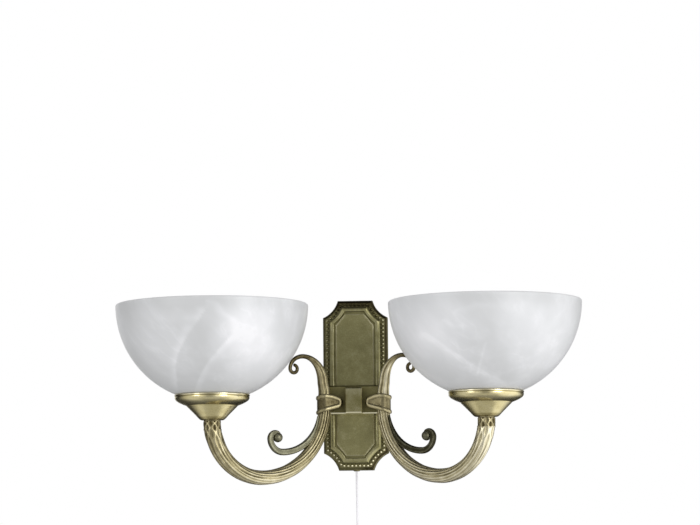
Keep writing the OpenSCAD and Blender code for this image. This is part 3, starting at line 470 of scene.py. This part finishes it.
# Rows of the plate and of its panel: (inset, height off the wall, wear)
EDGE = [(8.5, 15.35, 0.3), (8.5, 9.7, 0.2), (3, 9.7, 0.2), (3, 0, 0.3), (0, 0, 0.3),
        (0, 8.7, 0.3), (0.3, 9.3, 0.4), (0.7, 9.9, 0.25), (2.4, 12, 0.2),
        (2.7, 12.2, 0.38), (6, 12.2, 0.38), (6.2, 12.4, 0.3)]
RIM_INSET, RIM_FOOT, RIM_ROUND = 6.5, 16.2, 3
ROUND_RIM = [(RIM_INSET + RIM_ROUND * (1 - cos(a)), RIM_FOOT + RIM_ROUND * sin(a),
              0.36 + 0.19 * sin(a)) for a in np.radians(np.arange(0, 91, 15))]
GROOVE = [(10.5, 19.2, 0.55), (10.8, 19.05, 0.5), (11.05, 16.9, 0.4), (11.3, 16.6, 0.4)]
PANEL = [(0, 16.6, 0.4), (0.1, 17.3, 0.5), (0.25, 17.65, 0.72), (0.6, 17.8, 0.62),
         (1.6, 17.8, 0.49)]


def whole_loop(x, z, corner):
    """A loop from its first quarter: the right side, the corner and half of the top."""
    q = np.array([(x, s) for s in SIDE_Z] + corner + [(s, z) for s in END_X], float)
    return np.vstack([q[:-1], (q * [-1, 1])[::-1][:-1], (q * [-1, -1])[:-1],
                      (q * [1, -1])[::-1][:-1]])


def plate_loop(inset):
    """The plate's outline drawn in by inset: straight sides and ends, and at each corner
    an arc of radius SCOOP_R + inset about a point outside the plate."""
    x, z, r = PLATE_X - inset, PLATE_Z - inset, SCOOP_R + inset
    first = atan2(-sqrt(r * r - (SCOOP_X - x) ** 2), x - SCOOP_X)
    last = atan2(z - SCOOP_Z, -sqrt(r * r - (SCOOP_Z - z) ** 2))
    return whole_loop(x, z, [(SCOOP_X + r * cos(a), SCOOP_Z + r * sin(a))
                             for a in np.linspace(first, last, CORNER_POINTS)])


def panel_loop(inset):
    """The inner panel's outline: a rectangle with its corners cut across."""
    x, z = PANEL_X - inset, PANEL_Z - inset
    return whole_loop(x, z, [(x - PANEL_CUT[0] * t, z - PANEL_CUT[1] * (1 - t))
                             for t in np.linspace(0, 1, CORNER_POINTS)])


def plate():
    """Rows run from the hollow back round the edge, up the dark margin, through the bead
    channel, over the rounded rim, down into the groove and up onto the flat panel. Each is an
    outline at one height off the wall, kept flat where the carrier bar sits. The margin is
    darker at the plate's top, which is painted shade, and darker on its outer part on the
    right."""
    rows, wear = [], []
    for loop, table in ((plate_loop, EDGE + ROUND_RIM + GROOVE), (panel_loop, PANEL)):
        for inset, height, rubbed in table:
            x, z = loop(inset).T
            seated = (z > BAR_LOW) & (z < BAR_HIGH)
            rows.append(np.stack([x, -np.where(seated, min(height, BAR_SEAT), height), z], -1))
            margin = loop is plate_loop and MARGIN[0] < inset < MARGIN[2]
            # Painted shade: the margin darker towards the plate's top; its outer part is also
            # darker on the right
            top = 0.68 * ease((z - 66) / 10) * margin
            right = 0.85 * ease(x / 20) * (margin and inset < MARGIN[1])
            wear.append(rubbed * (1 - top) * (1 - right))
    skin("cast_backplate", np.array(rows), np.array(wear), angle=28, slot="plate_brass",
         nodes=["backplate"], finish=PLATE)


def bead_row():
    """Domes in a row along the outline drawn in by BEAD_INSET, each an ellipsoid of six rings
    of ten points. They are rubbed on their fronts, lighter to the right and down the plate as
    painted light, and darker at its top as painted shade."""
    loop = plate_loop(BEAD_INSET)
    loop = np.vstack([loop, loop[:1]])
    run = run_along(loop)
    count = round(run[-1] / BEAD_PITCH)
    at = (np.arange(count) + 0.5) * run[-1] / count
    x, z = np.interp(at, run, loop[:, 0]), np.interp(at, run, loop[:, 1])
    spots = np.stack([x, np.full(count, -BEAD_LIFT), z], -1)
    lat, n = np.radians([[-80], [-50], [-20], [10], [40], [70]]), 10
    lon, ring, pole = round_turn(n), np.arange(n), n * len(lat)
    ball = np.stack([np.cos(lat) * np.cos(lon), -np.sin(lat) + 0 * lon,
                     np.cos(lat) * np.sin(lon)], -1).reshape(-1, 3)
    shell = np.vstack([ball, [[0, 1, 0], [0, -1, 0]]])
    bands = np.array(quads(len(lat), n))
    caps = np.array(fan(pole, ring[::-1]) + fan(pole + 1, pole - n + ring))
    shift = len(shell) * np.arange(count)[:, None, None]
    faces = (bands + shift).reshape(-1, 4).tolist() + (caps + shift).reshape(-1, 3).tolist()
    # Painted light: lighter to the right and down the plate; painted shade: darker at its top
    rubbed = 0.64 + 0.12 * ease(x / 20) + 0.35 * ease((-z - 45) / 25)
    rubbed = rubbed * (1 - 0.8 * ease((z - 62) / 8))
    front = ease(0.25 - 0.9 * shell[:, 1])
    piece("bead_row", (spots[:, None] + shell * BEAD_SIZE).reshape(-1, 3), faces,
          rubbed[:, None] * front, slot="plate_brass", finish=PLATE)


plate()
bead_row()


# Arms, neck collars and scrolls

REEDS, TWIST, TWIST_RUN = 14, 1.1, 120
# The reeds cross within CROSSING below the cup, in LOZENGES of half turns, closer upwards
CROSSING, LOZENGES, CLOSING = 36, 2.25, 2.6


def reed_heights(t, below):
    """How high the surface stands round the arm, from 0 in a groove to 1 on a crest. Half
    round reeds, the cosine of REEDS / 4 times the angle, run along the arm with a slow
    twist. Near the cup they part into two sets that cross each other in long lozenges."""
    phase = REEDS / 4 * (t + TWIST * ease((below - CROSSING) / TWIST_RUN))
    part = pi / 4 + LOZENGES * pi * np.clip(1 - below / CROSSING, 0, 1) ** CLOSING
    high = np.maximum(np.abs(np.cos(phase + part)), np.abs(np.cos(phase - part)))
    least = np.minimum(np.abs(np.cos(part)), np.abs(np.sin(part)))
    return (high - least) / (1 - least)


def arm_path():
    """Stations down from the socket's top, round both bends and up to the collar, with the
    distance still to go to the cup."""
    growth = 0.7
    drop = np.linspace(SOCKET_TOP, ROOT_Z, 7)[:-1]
    turn = np.linspace(0, BEND_END, 136)
    first, second = turn[turn < pi / 2], turn[turn >= pi / 2]
    path = np.vstack([
        stations(0, drop, -90, ROOT_R),
        stations(BEND_1 * (1 - np.cos(first)), ROOT_Z - BEND_1 * np.sin(first),
                 np.degrees(first) - 90, ROOT_R + growth * first / (pi / 2)),
        stations(BEND_1 - BEND_2 * np.cos(second), BEND_2_Z - BEND_2 * np.sin(second),
                 np.degrees(second) - 90, ROOT_R + growth * (2 - np.cos(2 * second - pi))),
        stations(NECK_OUT, [COLLAR_Z], 90, NECK_R)])
    run = run_along(path[:, :2])
    return path, (run[-1] - run + CUP_FOOT - COLLAR_Z)[:, None]


def arms():
    """Each arm is its path's radius less a groove's depth, 0.35 to 0.7 mm and deepest on the
    inside of the bends and at the neck, with a seam along its near side. It is rubbed on the
    crests. Its outside gets a painted highlight, at the bend's lowest part on the left and all
    along on the right, the right arm is lighter overall as painted light, and it is darker
    towards the root. neck, lowest and root are places by their distance to the cup."""
    t = round_turn(140)
    path, left = arm_path()
    neck, lowest, root = 40, 85, 125
    high = reed_heights(t, left)
    inner = 0.5 + 0.5 * np.cos(t)
    deep = np.where(left < neck, 0.7, 0.35 + 0.35 * inner) + 0 * high
    seam = bump_at(t, 1.5 * pi, 0.09) * ease((left - neck + 10) / 12)
    radius = path[:, 3:4] - deep * (1 - high) - 0.3 * seam
    # Painted highlight on the outside of the bends: at the lowest part on the left, all along
    # on the right
    painted_highlight_left, painted_highlight_right = 0.4 * bump_at(left, lowest, 40) - 0.1, 0.26
    wear = (0.27 + (0.22 + 0.2 * deep) * high ** 2 + painted_highlight_left * (1 - inner)
            - 0.3 * seam - 0.14 * ease((left - root) / 60))
    both("reeded_arm", tube(path, radius, len(t)), wear, ["arm", "arm_socket"],
         painted_light_on_right=0.09 + (painted_highlight_right - painted_highlight_left) * (1 - inner), slot="arm_brass",
         finish=ARM, angle=60)


def neck_collars():
    """A sleeve with the arm's crossing reeds, 0.85 mm deep, and a plain ring on top."""
    n, depth, ring_r, ring_out = 140, 0.85, 7.3, 0.5
    z = CUP_FOOT + np.append(np.linspace(COLLAR_Z - CUP_FOOT, -1.2, 18), [-1.1, -0.6, -0.1, 0])
    ring = np.append(np.zeros(18), [0, 1, 1, 0])[:, None]
    plain = (z > CUP_FOOT - 1.15)[:, None]
    high = reed_heights(round_turn(n), (CUP_FOOT - z)[:, None])
    radius = np.where(plain, ring_r + ring_out * ring, NECK_R - depth * (1 - high))
    both("crossed_neck_collar", tube(stations(NECK_OUT, z, 90, NECK_R), radius, n),
         np.where(ring > 0, 0.35, 0.05 + 0.42 * high ** 2), ["neck_collar"],
         slot="arm_brass", finish=ARM, angle=60)


def rounded_end(radius, path, size):
    """Draws the last rings in to a round tip of about size, by the circle's formula."""
    run = run_along(path[:, :2])
    left = ((run[-1] - run) / size)[:, None]
    return radius * np.sqrt(np.clip(1 - (1 - np.clip(left, 0, 1)) ** 2, 0.02, 1))


# The upper scroll: its crest, the quarter ellipses up to it and down from it, and its curl
CREST_OUT, RISE_OUT, RISE_UP, FALL_OUT, FALL_UP = 23, 21.3, 24.7, 14, 11.8
CURL_OUT, CURL_UP, CURL_R, CURL_SHRINK, CURL_SWEEP = 33, 12.9, 4, 0.6, 280


def upper_scrolls():
    """A stem that rises from the tie, arches outwards over two quarter ellipses and ends in
    an open curl. It tapers from 6 to 1.5 mm, and its grooves fade where it grows thin."""
    lift = np.linspace(0, 1, 7)[:-1]
    rise = np.radians(np.arange(0, 90, 3))
    fall = np.radians(np.arange(90, 0, -5))
    curl = np.arange(0, CURL_SWEEP + 1, 10)
    part, way = curl / CURL_SWEEP, np.radians(curl)
    r = CURL_R - CURL_SHRINK * part
    path = np.vstack([
        stations((CREST_OUT - RISE_OUT) * lift ** 2, SOCKET_TOP * (1 - lift), 90 - 4 * lift,
                 ROOT_R - 0.8 * lift),
        stations(CREST_OUT - RISE_OUT * np.cos(rise), RISE_UP * np.sin(rise),
                 np.degrees(np.arctan2(RISE_UP * np.cos(rise), RISE_OUT * np.sin(rise))),
                 2.1 + 3.1 * np.cos(rise) ** 2),
        stations(CREST_OUT + FALL_OUT * np.cos(fall), CURL_UP + FALL_UP * np.sin(fall),
                 np.degrees(np.arctan2(-FALL_UP * np.cos(fall), FALL_OUT * np.sin(fall))),
                 1.7 + 0.4 * fall / (pi / 2)),
        stations(CURL_OUT + r * np.cos(way), CURL_UP - r * np.sin(way), -curl - 90,
                 1.7 - 0.2 * part)])
    high = np.abs(np.cos(2.5 * round_turn(64))) ** 0.8
    thick = path[:, 3:4]
    deep = 0.17 * ease((thick - 1.4) / 3)
    stout = ease((thick - 1.5) / 2.5)
    crest = 0.34 * high ** 2 * stout
    radius = rounded_end(thick * (1 - deep * (1 - high)), path, 1.3)
    # The right one gets painted light, most on its crests as a painted highlight
    both("leaf_scroll", tube(path, radius, len(high)), 0.1 + 0.08 * stout + crest,
         ["upper_scroll"], painted_light_on_right=0.04 + crest, slot="arm_brass", finish=ARM, angle=60)


# The lower scroll: centres (out, up) and radii of the arc along the arm's back, of the turn
# up and of the coil, and the ball inside the coil
BACK, BACK_R = (45.8, -23.1), 38.4
HOOK, HOOK_R = (45.8, -52.0), 12.6
COIL, COIL_R, COIL_SWEEP = (52.4, -52.0), 6, 140
BALL, BALL_R = (50.6, -51.2), 4.6


def lower_scrolls():
    """A strand with a channel along both its faces, that leaves the arm's back, turns up
    and coils round a ball. It swells from 1 to 3.1 mm and tapers to 1.8 mm."""
    back, hook, coil = np.arange(11, 90.1, 2.5), np.arange(-85, 0, 5), np.arange(0, 141, 7)
    swell = 1 + 2.1 * np.sin(np.radians(np.minimum(90, 2 * (back - 11))))
    r = COIL_R - coil / COIL_SWEEP
    path = np.vstack([
        stations(BACK[0] - (BACK_R + swell) * np.cos(np.radians(back)),
                 BACK[1] - (BACK_R + swell) * np.sin(np.radians(back)), back - 90, swell),
        stations(HOOK[0] + HOOK_R * np.cos(np.radians(hook)),
                 HOOK[1] + HOOK_R * np.sin(np.radians(hook)), hook + 90,
                 2.9 - 0.2 * hook / 90),
        stations(COIL[0] + r * np.cos(np.radians(coil)),
                 COIL[1] + r * np.sin(np.radians(coil)), coil + 90,
                 2.9 - 1.1 * coil / COIL_SWEEP)])
    t = round_turn(40)
    across = np.abs(np.sin(t))
    radius = rounded_end(path[:, 3:4] * (1 - 0.16 * bump_at(across, 1, 0.16)), path, 1.6)
    # The right one is darkened by 0.3 as painted shade
    both("channelled_scroll", tube(path, radius, len(t)),
         0.18 + 0.35 * bump_at(across, 0.75, 0.25), ["lower_scroll"], painted_light_on_right=-0.3,
         slot="scroll_brass", finish=SCROLL, angle=60)
    lat = np.radians(np.linspace(-84, 84, 15))[:, None]
    ball = in_plane(BALL[0] + BALL_R * np.cos(lat) * np.cos(t), BALL_R * np.sin(lat) + 0 * t,
                    BALL[1] + BALL_R * np.cos(lat) * np.sin(t))
    both("scroll_ball", ball, 0.3, slot="scroll_brass", finish=SCROLL, angle=80)


arms()
neck_collars()
upper_scrolls()
lower_scrolls()


# Ties

# Circles (x, y or z, radius) from the arm's root. Their hulls are a tie's plan and its front
TIE_PLAN = [(0, 0, 8.2), (-13.0, 1.6, 4.2)]
TIE_FRONT = [(-12.0, -17.8, 5.3), (-7.6, -13.4, 2.6), (-3.2, -12.6, 2.4), (3, -12.9, 2.4),
             (12, -15.34, 2.4), (12, -28.5, 1.5)]
TIE_SPAN, TIE_BACK = (-17.15, 8.3), 6.3
# The line from the tongue's tip to the outer end that parts the upper from the lower edge
PART_X, PART_Z = (-17.3, 12), (-17.8, -22)
EDGE_BEAD, FIELD_DEPTH = 1.8, 0.95


def hull_of(circles, count):
    """Points evenly spaced round the hull of some circles, and the outward direction at
    each: in every direction, the furthest point of the circle that reaches furthest."""
    a = round_turn(720)
    n = np.stack([np.cos(a), np.sin(a)], -1)
    c = np.array(circles, float)
    best = (c[:, :2] @ n.T + c[:, 2:3]).argmax(0)
    p = c[best, :2] + n * c[best, 2:3]
    p, n = np.vstack([p, p[:1]]), np.vstack([n, n[:1]])
    run = run_along(p)
    at = np.linspace(0, run[-1], count, endpoint=False)
    return (np.stack([np.interp(at, run, p[:, k]) for k in (0, 1)], -1),
            np.stack([np.interp(at, run, n[:, k]) for k in (0, 1)], -1))


def ties():
    """A band round the arm's root with a tongue on the bar. The plan is the hull of two
    circles, the front view the hull of six, and the band keeps a half round bead along
    its front view's edge, with a sunk and darker field inside."""
    plan, normal = hull_of(TIE_PLAN, 150)
    edge = hull_of(TIE_FRONT, 500)[0]
    order = np.argsort(edge[:, 0])
    above = edge[:, 1] > np.interp(edge[:, 0], PART_X, PART_Z)
    top, low = edge[order][above[order]], edge[order][~above[order]]
    x = np.clip(plan[:, 0], *TIE_SPAN)
    z_top, z_low = np.interp(x, *top.T), np.interp(x, *low.T)
    f = (1 - np.cos(np.linspace(0, pi, 45)))[:, None] / 2
    z = z_top + (z_low - z_top) * f
    spots = np.stack([x + 0 * z, z], -1)
    gap = np.sqrt(((spots[:, :, None] - edge[None, None]) ** 2).sum(-1).min(-1))
    gap = np.minimum(gap, np.minimum(z_top - z, z - z_low))
    on_bead = np.sqrt(np.clip(1 - (gap / EDGE_BEAD - 1) ** 2, 0, 1))
    beaded = gap < 2 * EDGE_BEAD
    inset = FIELD_DEPTH * np.where(beaded, 1 - on_bead, 1) * (z_top - z_low > 2)
    xy = plan[None] - inset[..., None] * normal[None]
    rows = np.stack([ROOT_X + xy[..., 0], -ROOT_Y + np.minimum(xy[..., 1], TIE_BACK), z], -1)
    # The right one gets a little painted light
    both("beaded_tie", rows, np.where(beaded, 0.12 + 0.34 * on_bead, 0.17), ["tie"],
         painted_light_on_right=0.08, slot="arm_brass", finish=ARM, angle=50)


ties()


# Cups

# The spun cup's profile in stretches: (wear, [(radius, height above its foot), ...])
CUP_PROFILE = [
    # the lip's top, its roll, and the line under the roll
    (0.55, [(33.3, 23.2)]),
    (0.75, [(33.9, 23.2), (34.3, 22.9), (34.4, 22.4), (34.3, 21.9)]),
    (0.15, [(34.05, 21.6), (34.0, 21.2)]),
    # the cove, and the step below it
    (0.55, [(34.1, 20.6), (34.1, 19.9), (33.9, 19.1), (33.4, 18.3), (32.5, 17.4),
            (31.2, 16.5), (29.6, 15.6), (27.9, 14.8), (26.3, 14.1)]),
    (0.38, [(24.9, 13.6), (23.8, 13.2), (23.3, 12.9), (23.1, 12.5)]),
    # the cone, the foot with its hole, and the inside
    (0.5, [(22.8, 12.1), (22.3, 11.7), (21.7, 11.1), (20.7, 10.1), (19.5, 8.9),
           (18.2, 7.6), (16.8, 6.2), (15.4, 4.8), (14.1, 3.4)]),
    (0.25, [(12.9, 2.1), (11.8, 1.0), (10.9, 0.3), (10.2, 0.0), (5.1, 0.0)]),
    (0.3, [(5.1, 1.2), (9.6, 1.2), (21.2, 12.6), (23.2, 14.1), (28.4, 16.7), (32.0, 19.0),
           (33.2, 21.6), (33.2, 23.0)])]


def cups():
    """Spun cup: a rolled lip, a cove, a step and a cone that rounds in to the foot."""
    profile = [(r, z + CUP_FOOT) for _, points in CUP_PROFILE for r, z in points]
    shine = np.array([[wear] for wear, points in CUP_PROFILE for _ in points])
    both("spun_cup", turned(profile, (CUP_X, CUP_Y), 128), shine, ["cup"],
         slot="cup_brass", finish=CUP, angle=45, join=True)


cups()


# Bowls and lamps

# Veins as bent lines: ([(x, height), ...], width to the left, width to the right, gain)
VEINS = {
    "left": [([(-27, -4), (-26.5, 8), (-23.2, 17.4), (-16.4, 29), (-9, 39.4), (0.9, 51)],
              6.5, 0.9, 0.42),
             ([(-11, -12), (-1.5, 2.3), (7.1, 12.8), (15.8, 22), (24, 30), (33, 38)],
              1.0, 4.5, 0.42),
             ([(8, 63), (14, 60), (22, 52), (30, 46), (32, 38)], 2.5, 4.5, 0.3),
             ([(-34, 50), (-18, 47), (-4, 50)], 4, 3, 0.15)],
    "right": [([(-52, 34), (-40, 26), (-29.4, 18.4), (-17, 10), (-7, 3.3), (4, -2.5),
                (13, -6)], 1.0, 4.5, 0.32),
              ([(-6, -1), (-4, 5.6), (-1, 15), (1.4, 23)], 1.1, 1.1, 0.3),
              ([(-34, 44), (-26, 39), (-18, 38)], 1.4, 2.6, 0.25),
              ([(-24, 52), (-12, 55), (0, 57)], 1.5, 4, 0.14)]}
# Ovals of painted light and shade on the glass: lighter towards the bowls' sides, darker in a
# band under the rim and low down by the cup, and a few smaller greyer patches: (x, height,
# half width, half height, gain)
PAINTED_LIGHT_AND_SHADE_OVALS = {
    "left": [(44, 30, 28, 34, 0.75), (-46, 26, 18, 26, 0.18), (0, 22, 10, 20, -0.1),
             (0, 64, 62, 7, -0.28), (0, -10, 26, 12, -0.2)],
    "right": [(-46, 36, 16, 12, 0.15), (-52, 34, 36, 44, 0.55), (46, 34, 32, 30, 0.5),
              (0, 64, 62, 6, -0.22), (-10, 26, 12, 14, -0.12), (8, 40, 6, 24, -0.08)]}


def vein_and_painted_light_values(points, side):
    """How much whiter the glass is at each point, from its veins and from painted light and
    shade. Veins are bands about bent lines, given in X from the bowl's axis and height, that
    fall off as exp(-(distance / width) squared), with one width to the line's left and one to
    its right, and waver a little along it. The ovals of painted light and shade fall off the
    same way. All lie on the front, and again, turned by half round, on the back, and fade
    between the two."""
    x = points[..., 0] - (CUP_X if side == "right" else -CUP_X)
    y = points[..., 1] - CUP_Y
    x = np.where(y < 0, x, -x)
    z = points[..., 2]
    total = np.zeros(x.shape)
    for bent, to_left, to_right, gain in VEINS[side]:
        near = np.full(x.shape, np.inf)
        width = np.full(x.shape, to_left, float)
        for (x0, z0), (x1, z1) in zip(bent, bent[1:]):
            dx, dz = x1 - x0, z1 - z0
            t = np.clip(((x - x0) * dx + (z - z0) * dz) / (dx * dx + dz * dz), 0, 1)
            away = np.hypot(x - x0 - t * dx, z - z0 - t * dz)
            right = (x - x0) * dz - (z - z0) * dx > 0
            width = np.where(away < near, np.where(right, to_right, to_left), width)
            near = np.minimum(near, away)
        waver = 0.75 + 0.25 * np.sin(x / 3.1 + z / 4.3) * np.sin(z / 2.7 - x / 7)
        total += gain * waver * bump_at(near, 0, width)
    # Ovals of painted light and shade
    for x0, z0, half_x, half_z, gain in PAINTED_LIGHT_AND_SHADE_OVALS[side]:
        total += gain * bump_at(x, x0, half_x) * bump_at(z, z0, half_z)
    return total * ease(np.abs(y) / 18)


def bowl_radius(z, inset=0.0):
    """The bowl's section: a quarter of an ellipse about its rim."""
    return (BOWL_R - inset) * np.sqrt(1 - ((RIM - z) / (BOWL_DEPTH - inset / 2)) ** 2)


def bowls():
    """Each bowl's section carried round its axis: up the outer ellipse, over a half round
    lip, down the inner ellipse and across the hole's edge."""
    lip = GLASS / 2
    s = 1 - np.cos(np.linspace(0, pi / 2, 88))
    z_out = BOWL_FOOT + (RIM - lip - BOWL_FOOT) * s
    z_in = BOWL_FOOT + GLASS + (RIM - lip - BOWL_FOOT - GLASS) * s[::-4]
    over = [(BOWL_R - lip + lip * cos(a), RIM - lip + lip * sin(a))
            for a in np.radians(np.arange(20, 161, 20))]
    profile = (list(zip(bowl_radius(z_out), z_out)) + over
               + list(zip(bowl_radius(z_in, GLASS), z_in))
               + [(BOWL_HOLE, BOWL_FOOT + GLASS), (BOWL_HOLE, BOWL_FOOT)])
    for side, placed in sides(turned(profile, (CUP_X, CUP_Y), 288)):
        skin(f"marbled_bowl_{side}", placed, join=True, slot="shade_glass",
             nodes=[f"shade_{side}"], finish=SHADE, angle=50,
             extra={"vein_and_painted_light": vein_and_painted_light_values(placed, side)})


def lamps():
    """A round lamp's glass: a ball that draws in to the neck in its cap."""
    neck, top, ball_r = -0.35, 53.65, 22.5
    ball = [(ball_r * cos(a), top - ball_r + ball_r * sin(a))
            for a in np.radians(np.arange(-48, 86, 6))]
    profile = [(6.6, neck), (7.0, neck + 1.5), (7.5, neck + 4), (8.2, neck + 6),
               (10.4, neck + 9.2)] + ball
    both("frosted_lamp", turned(profile, (CUP_X, CUP_Y), 56), None, ["lamp_glass"],
         slot="lamp_glass", finish=LAMP, angle=60)


bowls()
lamps()


# Cord bush: (radius, height), under its flange, up the groove and over the inner collar

BUSH = [(1.3, -80.7), (1.9, -80.9), (2.7, -80.75), (3.05, -80.4), (3.1, -80.0), (2.55, -79.9),
        (2.55, -77.0), (3.2, -76.9), (3.2, -76.3), (2.9, -76.2), (1.3, -76.2)]
skin("turned_cord_bush", turned(BUSH, (0, -CORD_Y), 36), join=True, slot="turned_brass",
     nodes=["cord_bush"], wear=0.3, finish=PLATE, angle=40)


# Floor, world and lights, in metres

FLOOR_X, FLOOR_Y, FLOOR_Z = 0.5, -0.75, -0.9
FLOOR_GLOW = 0.46


def studio_floor():
    """A pale floor that the camera sees as white: its colour's own light and FLOOR_GLOW."""
    mesh = bpy.data.meshes.new("floor")
    corners = [(-FLOOR_X, FLOOR_Y), (FLOOR_X, FLOOR_Y), (FLOOR_X, 0), (-FLOOR_X, 0)]
    mesh.from_pydata([(x, y, FLOOR_Z) for x, y in corners], [], [[0, 1, 2, 3]])
    floor = bpy.data.objects.new("floor", mesh)
    scene.collection.objects.link(floor)
    made, tree, shader, where = material("pale_studio_floor")
    tint = add(tree, "ValToRGB", patches(tree, where, 60),
               stops=[(0.3, "#c8c8c6"), (0.7, "#cececc")])[0]
    glow = product(tree, add(tree, "LightPath")["Is Camera Ray"], FLOOR_GLOW)
    fill(tree, shader, {"Base Color": tint, "Roughness": 0.8,
                        "Emission Color": (1, 1, 1, 1), "Emission Strength": glow})
    mesh.materials.append(made)


def studio():
    """White for the camera and through glass. For reflections the room is white straight
    behind the lamp and dark beside that. In front, a grey gap lies between two tall white
    screens that reach down under the lamp, brighter on the right, and all dims upwards. Low
    on the right a white sweep reaches further back. For diffuse light the room is a pale
    grey, lighter behind and on the right, and a little darker overhead."""
    world = bpy.data.worlds.new("studio")
    scene.world = world
    world.use_nodes = True
    tree = world.node_tree
    tree.nodes.clear()
    x, y, z = add(tree, "SeparateXYZ", add(tree, "TexCoord")["Generated"])
    back, height = weighted(tree, 0.5, (y, 0.5)), weighted(tree, 0.5, (z, 0.5))
    across = add(tree, "Math", x, operation="ABSOLUTE")[0]
    leaning = weighted(tree, 0.0, (back, 1.0), (z, 0.2), (x, -0.12))
    screens = add(tree, "ValToRGB", across,
                  stops=[(0.0, 0.33), (0.17, 0.35), (0.36, 0.95), (0.5, 1.04)])[0]
    behind = add(tree, "ValToRGB", leaning,
                 stops=[(0.5, 1.0), (0.6, 0.72), (0.7, 0.28), (0.8, 0.05), (0.965, 0.05),
                        (0.985, 1.0)])[0]
    upright = add(tree, "ValToRGB", height,
                  stops=[(0.0, 0.85), (0.45, 1.0), (0.6, 0.9), (0.8, 0.3), (1.0, 0.12)])[0]
    overhead = add(tree, "ValToRGB", height, stops=[(0.6, 1.0), (0.9, 0.85)])[0]
    sweep = product(tree, weighted(tree, -0.5, (x, 2.5), clamp=True),
                    weighted(tree, -0.4, (z, -3.0), clamp=True),
                    weighted(tree, -1.2, (y, 3.0), clamp=True))
    mirror = product(tree, screens, behind, upright, weighted(tree, 1.1, (x, 0.4)))
    mirror = weighted(tree, mirror, (sweep, 0.5))
    even = product(tree, weighted(tree, 0.66, (back, 0.4)), weighted(tree, 1.0, (x, 0.16)),
                   overhead)
    path = add(tree, "LightPath")
    seen = add(tree, "Math", path["Is Camera Ray"], path["Is Transmission Ray"],
               operation="MAXIMUM")[0]
    soft = add(tree, "Mix", inputs={0: path["Is Glossy Ray"], 2: even, 3: mirror})[0]
    level = add(tree, "Mix", inputs={0: seen, 2: soft, 3: 1.0})[0]
    add(tree, "OutputWorld", add(tree, "Background", level)[0])


def softbox(name, at, to, size, watts):
    """A rectangular lamp at a place, turned to a spot on the bracket."""
    light = bpy.data.lights.new(name, "AREA")
    light.shape = "RECTANGLE"
    light.size, light.size_y = size
    light.energy = watts
    obj = bpy.data.objects.new(name, light)
    scene.collection.objects.link(obj)
    obj.location = at
    obj.rotation_euler = (Vector(to) - Vector(at)).to_track_quat("-Z", "Y").to_euler()


studio_floor()
studio()
softbox("softbox_right", at=(1.35, -1.7, 0.45), to=(0.05, -0.08, -0.02), size=(0.7, 1.3),
        watts=15)
softbox("softbox_left", at=(-1.45, -1.6, 0.35), to=(-0.05, -0.08, -0.02), size=(0.6, 1.2),
        watts=6)
scene.view_settings.view_transform = "Standard"
